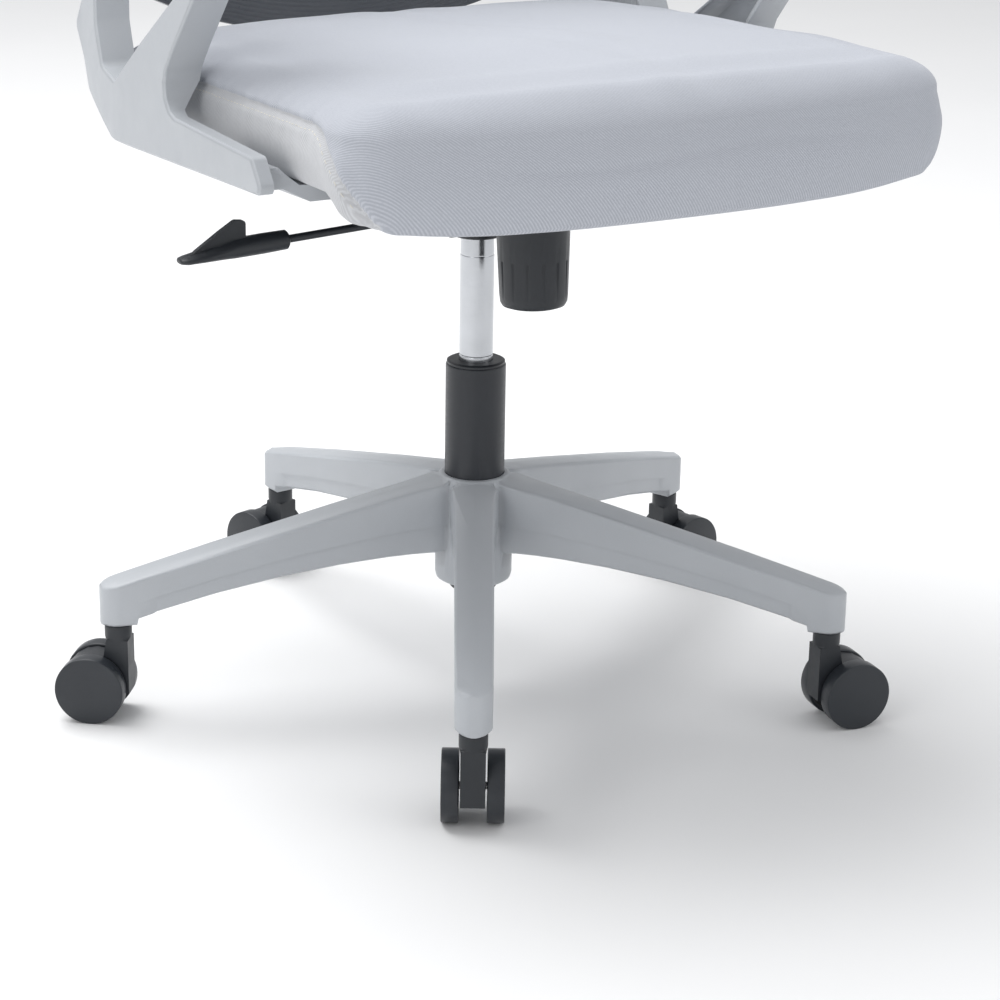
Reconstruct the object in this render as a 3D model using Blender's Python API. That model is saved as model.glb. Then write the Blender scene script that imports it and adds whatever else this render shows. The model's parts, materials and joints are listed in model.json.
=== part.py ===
"""Mesh-back task chair on a five-star castor base, as separate solids.

Frame: metres, +Z up, floor at z = 0, the sitter faces -Y and the sitter's right hand is at -X.
The origin is the point on the floor under the middle of the whole chair.
Everything on the seat is placed in the seat frame, which leans back by SEAT_RAKE.
"""

import math

import bmesh
import bpy
from mathutils import Matrix, Vector
from mathutils.geometry import delaunay_2d_cdt, tessellate_polygon

# ---------------------------------------------------------------- driving dimensions
GAP = 0.0003  # left between two pieces that touch
LIFT_X = 0.0125  # the lift's axis on the floor
LIFT_Y = -0.0205

LEG_COUNT = 5
FIRST_LEG_DEG = -118.2  # direction of the first leg from +X
STEM_CIRCLE = 0.305  # radius on which the castor stems stand
LEG_TIP_RADIUS = 0.0145
LEG_TIP_BOTTOM = 0.0827
LEG_ROOT_WIDTH = 0.034
LEG_TOP_AT_HUB = 0.187
LEG_BOTTOM_AT_HUB = 0.120
HUB_TOP = 0.184
HUB_BOTTOM = 0.090
HUB_RADIUS = 0.0325

WHEEL_RADIUS = 0.0285
WHEEL_WIDTH = 0.0135
WHEEL_GAP = 0.0215  # between the two wheels of one castor
CASTOR_TRAIL = 0.020
CASTOR_STEM_RADIUS = 0.0055
CASTOR_AXLE_RADIUS = 0.003
CASTOR_TRAIL_DEG = (61.0, -7.0, 13.0, 109.0, 143.0)  # where each castor's wheels stand now

TUBE_RADIUS = 0.025  # outer tube of the gas lift
TUBE_WALL = 0.002
TUBE_TOP = 0.279
TUBE_BOTTOM = 0.082
TUBE_FOOT_RADIUS = 0.0198
CHROME_RADIUS = 0.014
CHROME_TAPER_START = 0.372
CHROME_TOP = 0.424
CHROME_TOP_RADIUS = 0.0125
CHROME_BOTTOM = 0.186
ROD_TOP = 0.300
BUTTON_RADIUS = 0.0032
BUTTON_PROUD = 0.005
CONE_RADIUS = 0.022
LIFT_STROKE = 0.090  # how far the seat comes down from where it stands
ROD_RADIUS = 0.005

TILT_PIVOT_Y = -0.035  # from the lift's axis
TILT_PIVOT_Z = 0.455
TILT_PIN_RADIUS = 0.005
HOUSING_HALF_WIDTH = 0.0415
HOUSING_WALL = 0.0025
HOUSING_FLOOR = 0.396
HOUSING_NOSE_FLOOR = 0.4255
HOUSING_FRONT = -0.122
HOUSING_REAR = 0.055

SEAT_RAKE = math.radians(3.0)
SEAT_ORIGIN_Z = 0.470
SEAT_PLATE_HALF = 0.085
SEAT_PLATE_FRONT = -0.118
SEAT_PLATE_REAR = 0.090
SEAT_PLATE_THICK = 0.003
PAN_BOTTOM = 0.012  # heights from here on are in the seat frame
PAN_THICK = 0.012
SEAT_HALF_WIDTH = 0.2542
SEAT_FRONT = -0.290
SEAT_FRONT_BOW = 0.028
SEAT_FRONT_CORNER = 0.034
SEAT_REAR_CORNER = 0.055
SEAT_REAR_NARROWING = 0.018
SEAT_REAR = 0.200
SEAT_REAR_BOW = 0.012
SEAM_HEIGHT = 0.060
SEAT_CROWN = 0.030
SEAT_CORNER_DROP = 0.016  # how far the lower edge hangs down towards the front corners
SEAT_LIP_DROP = 0.013  # and how much more in the middle of the front
PAN_INSET = 0.022

KNOB_Y = -0.088
KNOB_TOP = -0.0560
KNOB_HEIGHT = 0.068
KNOB_RADIUS = 0.0295
SPRING_RADIUS = 0.018
SPRING_WIRE = 0.0035
SPRING_TURNS = 5
SPRING_FOOT = -0.1035
SPRING_LENGTH = 0.0398
KNOB_GROOVES = 14
BOLT_RADIUS = 0.004

LEVER_Y = -0.008
LEVER_PIVOT_X = -0.0415
LEVER_PIVOT_Z = 0.420
LEVER_ROD_RADIUS = 0.0032
LEVER_REACH = 0.266
LEVER_ROD_OFFSET = 0.009  # the rod runs this far below the rocker's hinge
SLEEVE_LENGTH = 0.046
PADDLE_LENGTH = 0.046
LEVER_DROP_DEG = 3.0
VALVE_TRAVEL = 0.005

ARM_PLANE = 0.281  # outer face at the foot, from the middle of the seat
ARM_DEPTH = 0.030
ARM_LEG_DEPTH = 0.012  # beside the seat, where there is less room
ARM_WALL = 0.0038
ARM_EDGE = 0.0022  # rounding between the outer face and the rim
ARM_TOE = 0.026  # how much the arm closes in per metre towards the rear
ARM_BEND = 0.012
ARM_TOP = 0.258
ARM_FOOT_FRONT = -0.184
ARM_FOOT_REAR = -0.094
POST_TOP = 0.310
POST_REAR = 0.205
POST_FRONT = 0.170
PAD_THICK = 0.012
PAD_FRONT = -0.142
PAD_REAR = 0.160
PAD_HALF_WIDTH = 0.025

BACK_HALF_WIDTH = 0.205
BACK_PLANE_Y = 0.190
BACK_CURVE = 0.022
BACK_BOTTOM = 0.165
BACK_TOP = 0.560
BACK_RECLINE_DEG = 8.0
BACK_RAIL = 0.024
BACK_RAIL_DEPTH = 0.016
MESH_THICK = 0.0025
BAND_HEIGHT = 0.036
BAND_THICK = 0.005
BAND_SAG = 0.048
BAND_BOW = 0.0365
BAND_REAR = 0.245
BAND_RIBS = 9
BAND_LOW = 0.056
BAND_HALF_LENGTH = 0.2185

SEAT_BOLT_RADIUS = 0.003
BACK_BOLT_RADIUS = 0.003
BACK_BOLT_Y = 0.188
BACK_BOLT_Z = 0.285
BACK_BOSS_RADIUS = 0.008


# ---------------------------------------------------------------- helpers
def clear_scene():
    for item in list(bpy.data.objects):
        bpy.data.objects.remove(item, do_unlink=True)


def make_material(name, colour, roughness, metallic=0.0):
    finish = bpy.data.materials.new(name)
    finish.use_nodes = True
    shader = finish.node_tree.nodes["Principled BSDF"]
    shader.inputs["Base Color"].default_value = (*colour, 1.0)
    shader.inputs["Roughness"].default_value = roughness
    shader.inputs["Metallic"].default_value = metallic
    finish.diffuse_color = (*colour, 1.0)
    return finish


def make_empty(name, parent=None, location=(0, 0, 0), rotation=(0, 0, 0)):
    empty = bpy.data.objects.new(name, None)
    bpy.context.scene.collection.objects.link(empty)
    return place(empty, parent, location, rotation)


def place(obj, parent=None, location=(0, 0, 0), rotation=(0, 0, 0)):
    obj.parent = parent
    obj.location = location
    obj.rotation_euler = rotation
    return obj


def finish_mesh(name, bm, finish, sharp_degrees=35):
    """Turns a bmesh into a linked object with outward faces and smooth round parts."""
    bmesh.ops.recalc_face_normals(bm, faces=bm.faces)
    mesh = bpy.data.meshes.new(name)
    bm.to_mesh(mesh)
    bm.free()
    mesh.materials.append(finish)
    mesh.shade_smooth()
    mesh.set_sharp_from_angle(angle=math.radians(sharp_degrees))
    obj = bpy.data.objects.new(name, mesh)
    bpy.context.scene.collection.objects.link(obj)
    return obj


def rounded(points, steps=4):
    """A closed outline of (x, y, radius) corners, each corner turned into an arc."""
    outline = []
    count = len(points)
    for i, (x, y, radius) in enumerate(points):
        corner = Vector((x, y))
        before = (Vector(points[i - 1][:2]) - corner).normalized()
        after = (Vector(points[(i + 1) % count][:2]) - corner).normalized()
        half = before.angle(after) / 2
        if radius <= 0 or half > math.radians(88):
            outline.append((x, y))
            continue
        reach = radius / math.tan(half)
        centre = corner + (before + after).normalized() * radius / math.sin(half)
        start = corner + before * reach - centre
        sweep = start.angle_signed(corner + after * reach - centre)
        for k in range(steps + 1):
            spoke = start.copy()
            spoke.rotate(Matrix.Rotation(-sweep * k / steps, 2))
            outline.append(tuple(centre + spoke))
    return outline


def inset(points, distance):
    """Moves every edge of an (x, y, radius) outline inward; its corners run anticlockwise."""
    moved = []
    count = len(points)
    for i, (x, y, radius) in enumerate(points):
        corner = Vector((x, y))
        along = (corner - Vector(points[i - 1][:2])).normalized()
        onward = (Vector(points[(i + 1) % count][:2]) - corner).normalized()
        turn = along.cross(onward)
        inward = Vector((-along.y, along.x)) + Vector((-onward.y, onward.x))
        shift = inward * distance / (1 + along.dot(onward))
        grown = radius - distance if turn > 0 else radius + distance
        moved.append((x + shift.x, y + shift.y, max(grown, 0.0008)))
    return moved


def refine(outline, longest, like=None):
    """Adds points along the straight stretches of a closed outline, as many as on `like`."""
    fine = []
    like = like or outline
    for i, start in enumerate(outline):
        end = outline[(i + 1) % len(outline)]
        span = math.dist(like[i], like[(i + 1) % len(like)])
        pieces = max(1, math.ceil(span / longest))
        for k in range(pieces):
            t = k / pieces
            fine.append((start[0] + t * (end[0] - start[0]), start[1] + t * (end[1] - start[1])))
    return fine


def add_ring(bm, points):
    return [bm.verts.new(point) for point in points]


def bridge(bm, ring_a, ring_b):
    count = len(ring_a)
    for i in range(count):
        j = (i + 1) % count
        bm.faces.new((ring_a[i], ring_a[j], ring_b[j], ring_b[i]))


def cap(bm, rings):
    """Fills a flat face that may have holes; the first ring is its outer edge."""
    verts = [vert for ring in rings for vert in ring]
    loops = [[vert.co for vert in ring] for ring in rings]
    for a, b, c in tessellate_polygon(loops):
        bm.faces.new((verts[a], verts[b], verts[c]))


def on_axis(axis, flat, height):
    """A point of a flat outline at a height along X, Y or Z."""
    u, v = flat
    return {"X": (height, u, v), "Y": (u, height, v), "Z": (u, v, height)}[axis]


def prism(name, outline, low, high, axis, finish, holes=()):
    bm = bmesh.new()
    ends = []
    for height in (low, high):
        ends.append([add_ring(bm, [on_axis(axis, p, height) for p in ring])
                     for ring in (outline, *holes)])
    for ring_low, ring_high in zip(*ends, strict=True):
        bridge(bm, ring_low, ring_high)
    cap(bm, ends[0])
    cap(bm, ends[1])
    return finish_mesh(name, bm, finish)


def circle(centre, radius, count=16, turn=0.5):
    step = 2 * math.pi / count
    return [(centre[0] + radius * math.cos((i + turn) * step),
             centre[1] + radius * math.sin((i + turn) * step)) for i in range(count)]


def turned(name, profile, finish, segments=32, closed=True, sharp_degrees=35):
    """Spins a profile of (radius, z) about Z; an open profile starts and ends on the axis."""
    bm = bmesh.new()
    rings = []
    for radius, z in profile:
        if radius == 0:
            rings.append([bm.verts.new((0, 0, z))])
        else:
            rings.append(add_ring(bm, [(x, y, z) for x, y in circle((0, 0), radius, segments)]))
    pairs = list(zip(rings, rings[1:], strict=False))
    if closed:
        pairs.append((rings[-1], rings[0]))
    for ring_a, ring_b in pairs:
        if len(ring_a) == 1 or len(ring_b) == 1:
            tip, ring = (ring_a, ring_b) if len(ring_a) == 1 else (ring_b, ring_a)
            for i in range(segments):
                bm.faces.new((tip[0], ring[i], ring[(i + 1) % segments]))
        else:
            bridge(bm, ring_a, ring_b)
    return finish_mesh(name, bm, finish, sharp_degrees)


def rod(name, radius, low, high, finish, segments=16, chamfer=0.0005):
    profile = [(0, low), (radius - chamfer, low), (radius, low + chamfer),
               (radius, high - chamfer), (radius - chamfer, high), (0, high)]
    return turned(name, profile, finish, segments, closed=False)


def use_as_tool(tool, target, operation="DIFFERENCE"):
    """Cuts or joins with another object, which then only shows as a wire guide."""
    tool.hide_render = True
    tool.display_type = "WIRE"
    step = target.modifiers.new(tool.name, "BOOLEAN")
    step.operation = operation
    step.solver = "EXACT"
    step.object = tool
    return tool


def weld(obj):
    """Joins the coincident points that meeting surfaces leave behind."""
    obj.modifiers.new("weld", "WELD").merge_threshold = 0.0001


def smooth_step(value):
    value = min(max(value, 0.0), 1.0)
    return value * value * (3 - 2 * value)


# ---------------------------------------------------------------- the base
def leg_top(r):
    return LEG_TOP_AT_HUB - 0.195 * r - 0.09 * r * r


def leg_bottom(r):
    return LEG_BOTTOM_AT_HUB - 0.51 * max(0.0, r - 0.04) ** 2


def leg_half_width(r):
    root = LEG_ROOT_WIDTH / 2
    taper = root + (LEG_TIP_RADIUS - root) * (r / STEM_CIRCLE)
    web = 0.0035 * math.exp(-(r - HUB_RADIUS) / 0.014)
    return taper + web


def leg_section(r, half, bottom, recess):
    """One cross-section of a leg: crowned top, upper band, recessed lower panel."""
    top = leg_top(r)
    edge = min(0.0025, half * 0.4)
    band = bottom + 0.42 * (top - bottom)
    side = half - recess
    right = [(half - edge, top), (half, top - edge), (half, band),
             (side, band - min(recess, 0.002)), (side, bottom + edge), (side - edge, bottom)]
    left = [(-y, z) for y, z in reversed(right)]
    return [(r, y, z) for y, z in [(0, top + 0.0012), *right, *left]]


def make_leg(name, finish):
    boss_start = STEM_CIRCLE - LEG_TIP_RADIUS
    panel_end = boss_start - 0.012
    root = HUB_RADIUS - 0.006
    stations = [(root, 0.0160, leg_bottom(root), 0.0022)]
    stations += [(r, leg_half_width(r), leg_bottom(r), 0.0022)
                 for r in (HUB_RADIUS + 0.001, 0.042, 0.058, 0.080, 0.120, 0.17, 0.225)]
    for r, recess in ((panel_end - 0.004, 0.0022), (panel_end, 0.0001), (boss_start, 0.0001)):
        stations.append((r, leg_half_width(r), leg_bottom(r), recess))
    for r in (boss_start + 0.001, STEM_CIRCLE):
        stations.append((r, LEG_TIP_RADIUS, LEG_TIP_BOTTOM, 0.0001))
    for degrees in (20, 40, 60, 78):
        turn = math.radians(degrees)
        r = STEM_CIRCLE + LEG_TIP_RADIUS * math.sin(turn)
        stations.append((r, LEG_TIP_RADIUS * math.cos(turn), LEG_TIP_BOTTOM, 0.0001))
    bm = bmesh.new()
    rings = [add_ring(bm, leg_section(*station)) for station in stations]
    for ring_a, ring_b in zip(rings, rings[1:], strict=False):
        bridge(bm, ring_a, ring_b)
    bm.faces.new(rings[0])
    bm.faces.new(rings[-1])
    return finish_mesh(name, bm, finish)


def make_base(finish, parent):
    hub = turned("star_base", [
        (0, HUB_BOTTOM), (HUB_RADIUS - 0.004, HUB_BOTTOM), (HUB_RADIUS - 0.001, HUB_BOTTOM + 0.002),
        (HUB_RADIUS, HUB_BOTTOM + 0.006), (HUB_RADIUS, HUB_TOP - 0.006),
        (HUB_RADIUS - 0.003, HUB_TOP - 0.001), (TUBE_RADIUS + 0.002, HUB_TOP), (0, HUB_TOP)],
        finish, 40, closed=False)
    place(hub, parent)
    for k in range(LEG_COUNT):
        angle = math.radians(FIRST_LEG_DEG + k * 360 / LEG_COUNT)
        leg = make_leg(f"leg_guide_{k + 1}", finish)
        use_as_tool(place(leg, parent, rotation=(0, 0, angle)), hub, "UNION")
        socket = rod(f"socket_guide_{k + 1}", CASTOR_STEM_RADIUS + GAP, LEG_TIP_BOTTOM - 0.01,
                     LEG_TIP_BOTTOM + 0.0245, finish, 16)
        stem_place = (STEM_CIRCLE * math.cos(angle), STEM_CIRCLE * math.sin(angle), 0)
        use_as_tool(place(socket, parent, stem_place), hub)
    bore = turned("hub_bore_guide", [
        (0, HUB_BOTTOM - 0.01), (tube_outside(HUB_BOTTOM) + GAP, HUB_BOTTOM - 0.01),
        (tube_outside(HUB_TOP) + GAP, HUB_TOP), (tube_outside(HUB_TOP) + GAP, HUB_TOP + 0.01),
        (0, HUB_TOP + 0.01)], finish, 32, closed=False)
    use_as_tool(place(bore, parent), hub)
    weld(hub)
    return hub


# ---------------------------------------------------------------- castors
def make_castor(number, finishes, parent):
    angle = math.radians(FIRST_LEG_DEG + (number - 1) * 360 / LEG_COUNT)
    spot = (STEM_CIRCLE * math.cos(angle), STEM_CIRCLE * math.sin(angle), 0)
    trail = math.radians(CASTOR_TRAIL_DEG[number - 1])
    swivel = make_empty(f"castor_swivel_{number}", parent, spot, (0, 0, trail))
    black, steel = finishes["black_plastic"], finishes["steel"]

    neck_radius = 0.0112
    neck_top = LEG_TIP_BOTTOM - 0.0012
    body_half = WHEEL_GAP / 2 - 0.0012
    reach = WHEEL_RADIUS - 0.0015
    arch = [(CASTOR_TRAIL + reach * math.cos(t), WHEEL_RADIUS + reach * math.sin(t))
            for t in (math.radians(10 + 20 * k) for k in range(6))]
    outline = [(-neck_radius + 0.001, WHEEL_RADIUS - 0.005), (CASTOR_TRAIL - 0.004, WHEEL_RADIUS - 0.009),
               (CASTOR_TRAIL + 0.010, WHEEL_RADIUS - 0.008), *arch,
               (neck_radius * 0.7, neck_top - 0.012), (-neck_radius + 0.001, neck_top - 0.012)]
    hood = prism(f"castor_{number}_hood", outline, -body_half, body_half, "Y", black)
    place(hood, swivel)
    neck = turned(f"neck_guide_{number}", [
        (0, neck_top - 0.020), (neck_radius - 0.002, neck_top - 0.020), (neck_radius, neck_top - 0.010),
        (neck_radius, neck_top - 0.001), (neck_radius - 0.001, neck_top), (0, neck_top)],
        black, 20, closed=False)
    use_as_tool(place(neck, swivel), hood, "UNION")
    stem_bottom = neck_top - 0.016
    stem_hole = rod(f"stem_hole_guide_{number}", CASTOR_STEM_RADIUS + GAP, stem_bottom - GAP,
                    neck_top + 0.01, black, 16)
    use_as_tool(place(stem_hole, swivel), hood)
    axle_place = (CASTOR_TRAIL, 0, WHEEL_RADIUS)
    across = (math.pi / 2, 0, 0)
    axle_hole = rod(f"axle_hole_guide_{number}", CASTOR_AXLE_RADIUS + GAP, -0.03, 0.03, black, 16)
    use_as_tool(place(axle_hole, swivel, axle_place, across), hood)

    stem = turned(f"castor_{number}_stem", [
        (0, stem_bottom), (CASTOR_STEM_RADIUS, stem_bottom), (CASTOR_STEM_RADIUS, LEG_TIP_BOTTOM + 0.018),
        (CASTOR_STEM_RADIUS - 0.001, LEG_TIP_BOTTOM + 0.019),
        (CASTOR_STEM_RADIUS - 0.001, LEG_TIP_BOTTOM + 0.021),
        (CASTOR_STEM_RADIUS - 0.0002, LEG_TIP_BOTTOM + 0.022), (0, LEG_TIP_BOTTOM + 0.0235)],
        steel, 16, closed=False)
    place(stem, swivel)

    inner = WHEEL_GAP / 2
    outer = inner + WHEEL_WIDTH
    bore = CASTOR_AXLE_RADIUS + GAP
    blind = outer - 0.0036
    place(rod(f"castor_{number}_axle", CASTOR_AXLE_RADIUS, -blind + GAP, blind - GAP, steel, 10),
          swivel, axle_place, across)
    for name, tip in (("left", -math.pi / 2), ("right", math.pi / 2)):
        wheel = turned(f"castor_{number}_wheel_{name}", [
            (0, blind), (bore, blind), (bore, inner), (WHEEL_RADIUS - 0.001, inner),
            (WHEEL_RADIUS, inner + 0.0012), (WHEEL_RADIUS, outer - 0.002),
            (WHEEL_RADIUS - 0.0015, outer - 0.0006), (WHEEL_RADIUS * 0.6, outer), (0, outer)],
            black, 20, closed=False)
        place(wheel, swivel, axle_place, (tip, 0, 0))


# ---------------------------------------------------------------- gas lift
def tube_outside(z):
    """The outer tube narrows to a taper where it sits in the hub."""
    if z >= HUB_TOP:
        return TUBE_RADIUS
    share = (HUB_TOP - z) / (HUB_TOP - TUBE_BOTTOM)
    return TUBE_RADIUS + (TUBE_FOOT_RADIUS - TUBE_RADIUS) * share


def make_gas_lift(finishes, parent):
    black, chrome, steel = finishes["black_steel"], finishes["chrome"], finishes["steel"]
    floor = TUBE_BOTTOM + 0.003
    place(turned("lift_outer_tube", [
        (ROD_RADIUS + 0.003, TUBE_BOTTOM), (TUBE_FOOT_RADIUS - 0.001, TUBE_BOTTOM),
        (TUBE_FOOT_RADIUS, TUBE_BOTTOM + 0.001), (TUBE_RADIUS, HUB_TOP), (TUBE_RADIUS, TUBE_TOP - 0.001),
        (TUBE_RADIUS - 0.001, TUBE_TOP), (TUBE_RADIUS - TUBE_WALL, TUBE_TOP),
        (TUBE_RADIUS - TUBE_WALL, HUB_TOP), (TUBE_FOOT_RADIUS - TUBE_WALL, floor),
        (ROD_RADIUS + 0.003, floor)], black, 32), parent)
    bore = TUBE_RADIUS - TUBE_WALL - GAP
    place(turned("lift_guide_bush", [
        (CHROME_RADIUS + GAP, TUBE_TOP - 0.070), (bore - 0.001, TUBE_TOP - 0.070), (bore, TUBE_TOP - 0.069),
        (bore, TUBE_TOP + GAP), (TUBE_RADIUS - 0.001, TUBE_TOP + GAP),
        (TUBE_RADIUS - 0.0008, TUBE_TOP + 0.0022), (TUBE_RADIUS - 0.003, TUBE_TOP + 0.0032),
        (CHROME_RADIUS + GAP, TUBE_TOP + 0.0032)], finishes["black_plastic"], 32), parent)
    place(rod("piston_rod", ROD_RADIUS, TUBE_BOTTOM - 0.004, ROD_TOP, steel, 12), parent)
    place(turned("thrust_bearing", [
        (ROD_RADIUS + GAP, floor + GAP), (ROD_RADIUS + 0.007, floor + GAP),
        (ROD_RADIUS + 0.007, floor + 0.006), (ROD_RADIUS + GAP, floor + 0.006)], steel, 20), parent)
    place(turned("rod_clip", [
        (ROD_RADIUS + GAP, TUBE_BOTTOM - 0.0025), (ROD_RADIUS + 0.005, TUBE_BOTTOM - 0.0025),
        (ROD_RADIUS + 0.005, TUBE_BOTTOM - 0.001), (ROD_RADIUS + GAP, TUBE_BOTTOM - 0.001)],
        steel, 16), parent)
    bore_top = ROD_TOP + LIFT_STROKE + 0.006
    groove = 0.0005
    low_ring = TUBE_TOP + 0.0065
    button_floor = CHROME_TOP - 0.012
    place(turned("pressure_tube", [
        (0, bore_top), (ROD_RADIUS + GAP, bore_top), (ROD_RADIUS + GAP, CHROME_BOTTOM),
        (CHROME_RADIUS - 0.001, CHROME_BOTTOM), (CHROME_RADIUS, CHROME_BOTTOM + 0.001),
        (CHROME_RADIUS, low_ring), (CHROME_RADIUS - groove, low_ring + 0.0005),
        (CHROME_RADIUS - groove, low_ring + 0.0015), (CHROME_RADIUS, low_ring + 0.002),
        (CHROME_RADIUS, CHROME_TAPER_START - 0.001), (CHROME_RADIUS - groove, CHROME_TAPER_START - 0.0005),
        (CHROME_RADIUS - groove, CHROME_TAPER_START + 0.0005),
        (CHROME_RADIUS - 0.0001, CHROME_TAPER_START + 0.001), (CHROME_TOP_RADIUS, CHROME_TOP - 0.001),
        (CHROME_TOP_RADIUS - 0.001, CHROME_TOP), (BUTTON_RADIUS + GAP, CHROME_TOP),
        (BUTTON_RADIUS + GAP, button_floor), (0, button_floor)], chrome, 32, closed=False), parent)
    place(rod("valve_button", BUTTON_RADIUS, button_floor + VALVE_TRAVEL + 0.001,
              CHROME_TOP + BUTTON_PROUD, steel, 12), parent)


# ---------------------------------------------------------------- tilt mechanism
def chrome_outside(z):
    """Radius of the chrome tube's upper taper."""
    share = (z - CHROME_TAPER_START) / (CHROME_TOP - CHROME_TAPER_START)
    return CHROME_RADIUS + (CHROME_TOP_RADIUS - CHROME_RADIUS) * share


def make_housing(finishes, parent):
    """An open steel tray round the top of the lift, with ears for the tilt pin."""
    steel = finishes["black_steel"]
    ear = 0.0105
    side = [(HOUSING_FRONT, HOUSING_NOSE_FLOOR, 0.004), (-0.050, HOUSING_NOSE_FLOOR, 0.012),
            (-0.036, HOUSING_FLOOR, 0.010), (HOUSING_REAR, HOUSING_FLOOR, 0.008),
            (HOUSING_REAR, 0.436, 0.004), (TILT_PIVOT_Y + 0.024, 0.447, 0.006),
            (TILT_PIVOT_Y + ear, TILT_PIVOT_Z + ear, 0.006),
            (TILT_PIVOT_Y - ear, TILT_PIVOT_Z + ear, 0.006), (TILT_PIVOT_Y - 0.024, 0.447, 0.006), (HOUSING_FRONT, 0.436, 0.004)]
    tray = prism("tilt_housing", rounded(side, 3), -HOUSING_HALF_WIDTH, HOUSING_HALF_WIDTH, "X", steel)
    place(tray, parent)
    hollow = inset(side, HOUSING_WALL)
    raised = [(y, z + (0.04 if z > 0.43 else 0), r) for y, z, r in hollow]
    room = prism("housing_room_guide", rounded(raised, 3), -HOUSING_HALF_WIDTH + HOUSING_WALL,
                 HOUSING_HALF_WIDTH - HOUSING_WALL, "X", steel)
    use_as_tool(place(room, parent), tray)
    seat_hole = rod("cone_hole_guide", CONE_RADIUS + GAP, 0.38, 0.41, steel, 24)
    use_as_tool(place(seat_hole, parent), tray)
    pin_hole = rod("pin_hole_guide", TILT_PIN_RADIUS + GAP, -0.06, 0.06, steel, 16)
    use_as_tool(place(pin_hole, parent, (0, TILT_PIVOT_Y, TILT_PIVOT_Z), (0, math.pi / 2, 0)), tray)
    slot = prism("bolt_slot_guide", rounded([
        (-0.007, KNOB_Y - 0.024, 0.005), (0.007, KNOB_Y - 0.024, 0.005),
        (0.007, KNOB_Y + 0.016, 0.005), (-0.007, KNOB_Y + 0.016, 0.005)]), 0.40, 0.43, "Z", steel)
    use_as_tool(place(slot, parent), tray)
    low, high = LEVER_PIVOT_Z - LEVER_ROD_OFFSET - 0.0085, LEVER_PIVOT_Z + 0.011
    window = prism("lever_window_guide", rounded([
        (LEVER_Y - 0.008, low, 0.003), (LEVER_Y + 0.008, low, 0.003),
        (LEVER_Y + 0.008, high, 0.003), (LEVER_Y - 0.008, high, 0.003)]), -0.05, -0.03, "X", steel)
    use_as_tool(place(window, parent), tray)
    return tray


def make_mechanism(finishes, parent, seat):
    black, steel = finishes["black_steel"], finishes["steel"]
    make_housing(finishes, parent)
    low, high = HOUSING_FLOOR - 0.008, CHROME_TOP - 0.003
    place(turned("taper_socket", [
        (chrome_outside(low) + GAP, low), (CONE_RADIUS - 0.001, low), (CONE_RADIUS, low + 0.001),
        (CONE_RADIUS, high - 0.001), (CONE_RADIUS - 0.001, high), (chrome_outside(high) + GAP, high)],
        black, 24), parent)
    pin_half = HOUSING_HALF_WIDTH + 0.0068
    place(rod("tilt_pin", TILT_PIN_RADIUS, -pin_half, pin_half, steel, 16),
          parent, (0, TILT_PIVOT_Y, TILT_PIVOT_Z), (0, math.pi / 2, 0))

    spring = coil("tension_spring", SPRING_RADIUS, SPRING_WIRE / 2, SPRING_TURNS,
                  0.0, SPRING_LENGTH, steel)
    place(spring, seat, (0, KNOB_Y, SPRING_FOOT))
    cup_top = SPRING_FOOT - SPRING_WIRE / 2 - GAP
    place(turned("spring_cup", [
        (BOLT_RADIUS + GAP, -0.0025), (SPRING_RADIUS + 0.003, -0.0025), (SPRING_RADIUS + 0.003, 0),
        (BOLT_RADIUS + GAP, 0)], steel, 24), seat, (0, KNOB_Y, cup_top))
    bolt_low = KNOB_TOP - KNOB_HEIGHT + 0.004
    plate_low = PAN_BOTTOM - GAP - SEAT_PLATE_THICK
    place(rod("tension_bolt", BOLT_RADIUS, bolt_low, plate_low - GAP, steel, 12), seat, (0, KNOB_Y, 0))
    make_knob(finishes, seat, cup_top - 0.0025 - GAP)


def coil(name, radius, wire, turns, low, high, finish):
    """A compression spring swept from a helix, with closed flat ends."""
    per_turn = 12
    sides = 6
    count = int(turns * per_turn)
    bm = bmesh.new()
    rings = []
    for i in range(count + 1):
        angle = 2 * math.pi * i / per_turn
        along = smooth_step((i / count - 0.06) / 0.88) * 0.25 + 0.75 * (i / count)
        z = low + (high - low) * along
        centre = Vector((radius * math.cos(angle), radius * math.sin(angle), z))
        out = Vector((math.cos(angle), math.sin(angle), 0))
        rings.append(add_ring(bm, [
            centre + out * wire * math.cos(2 * math.pi * k / sides)
            + Vector((0, 0, 1)) * wire * math.sin(2 * math.pi * k / sides) for k in range(sides)]))
    for ring_a, ring_b in zip(rings, rings[1:], strict=False):
        bridge(bm, ring_a, ring_b)
    bm.faces.new(rings[0])
    bm.faces.new(rings[-1])
    return finish_mesh(name, bm, finish)


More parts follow.
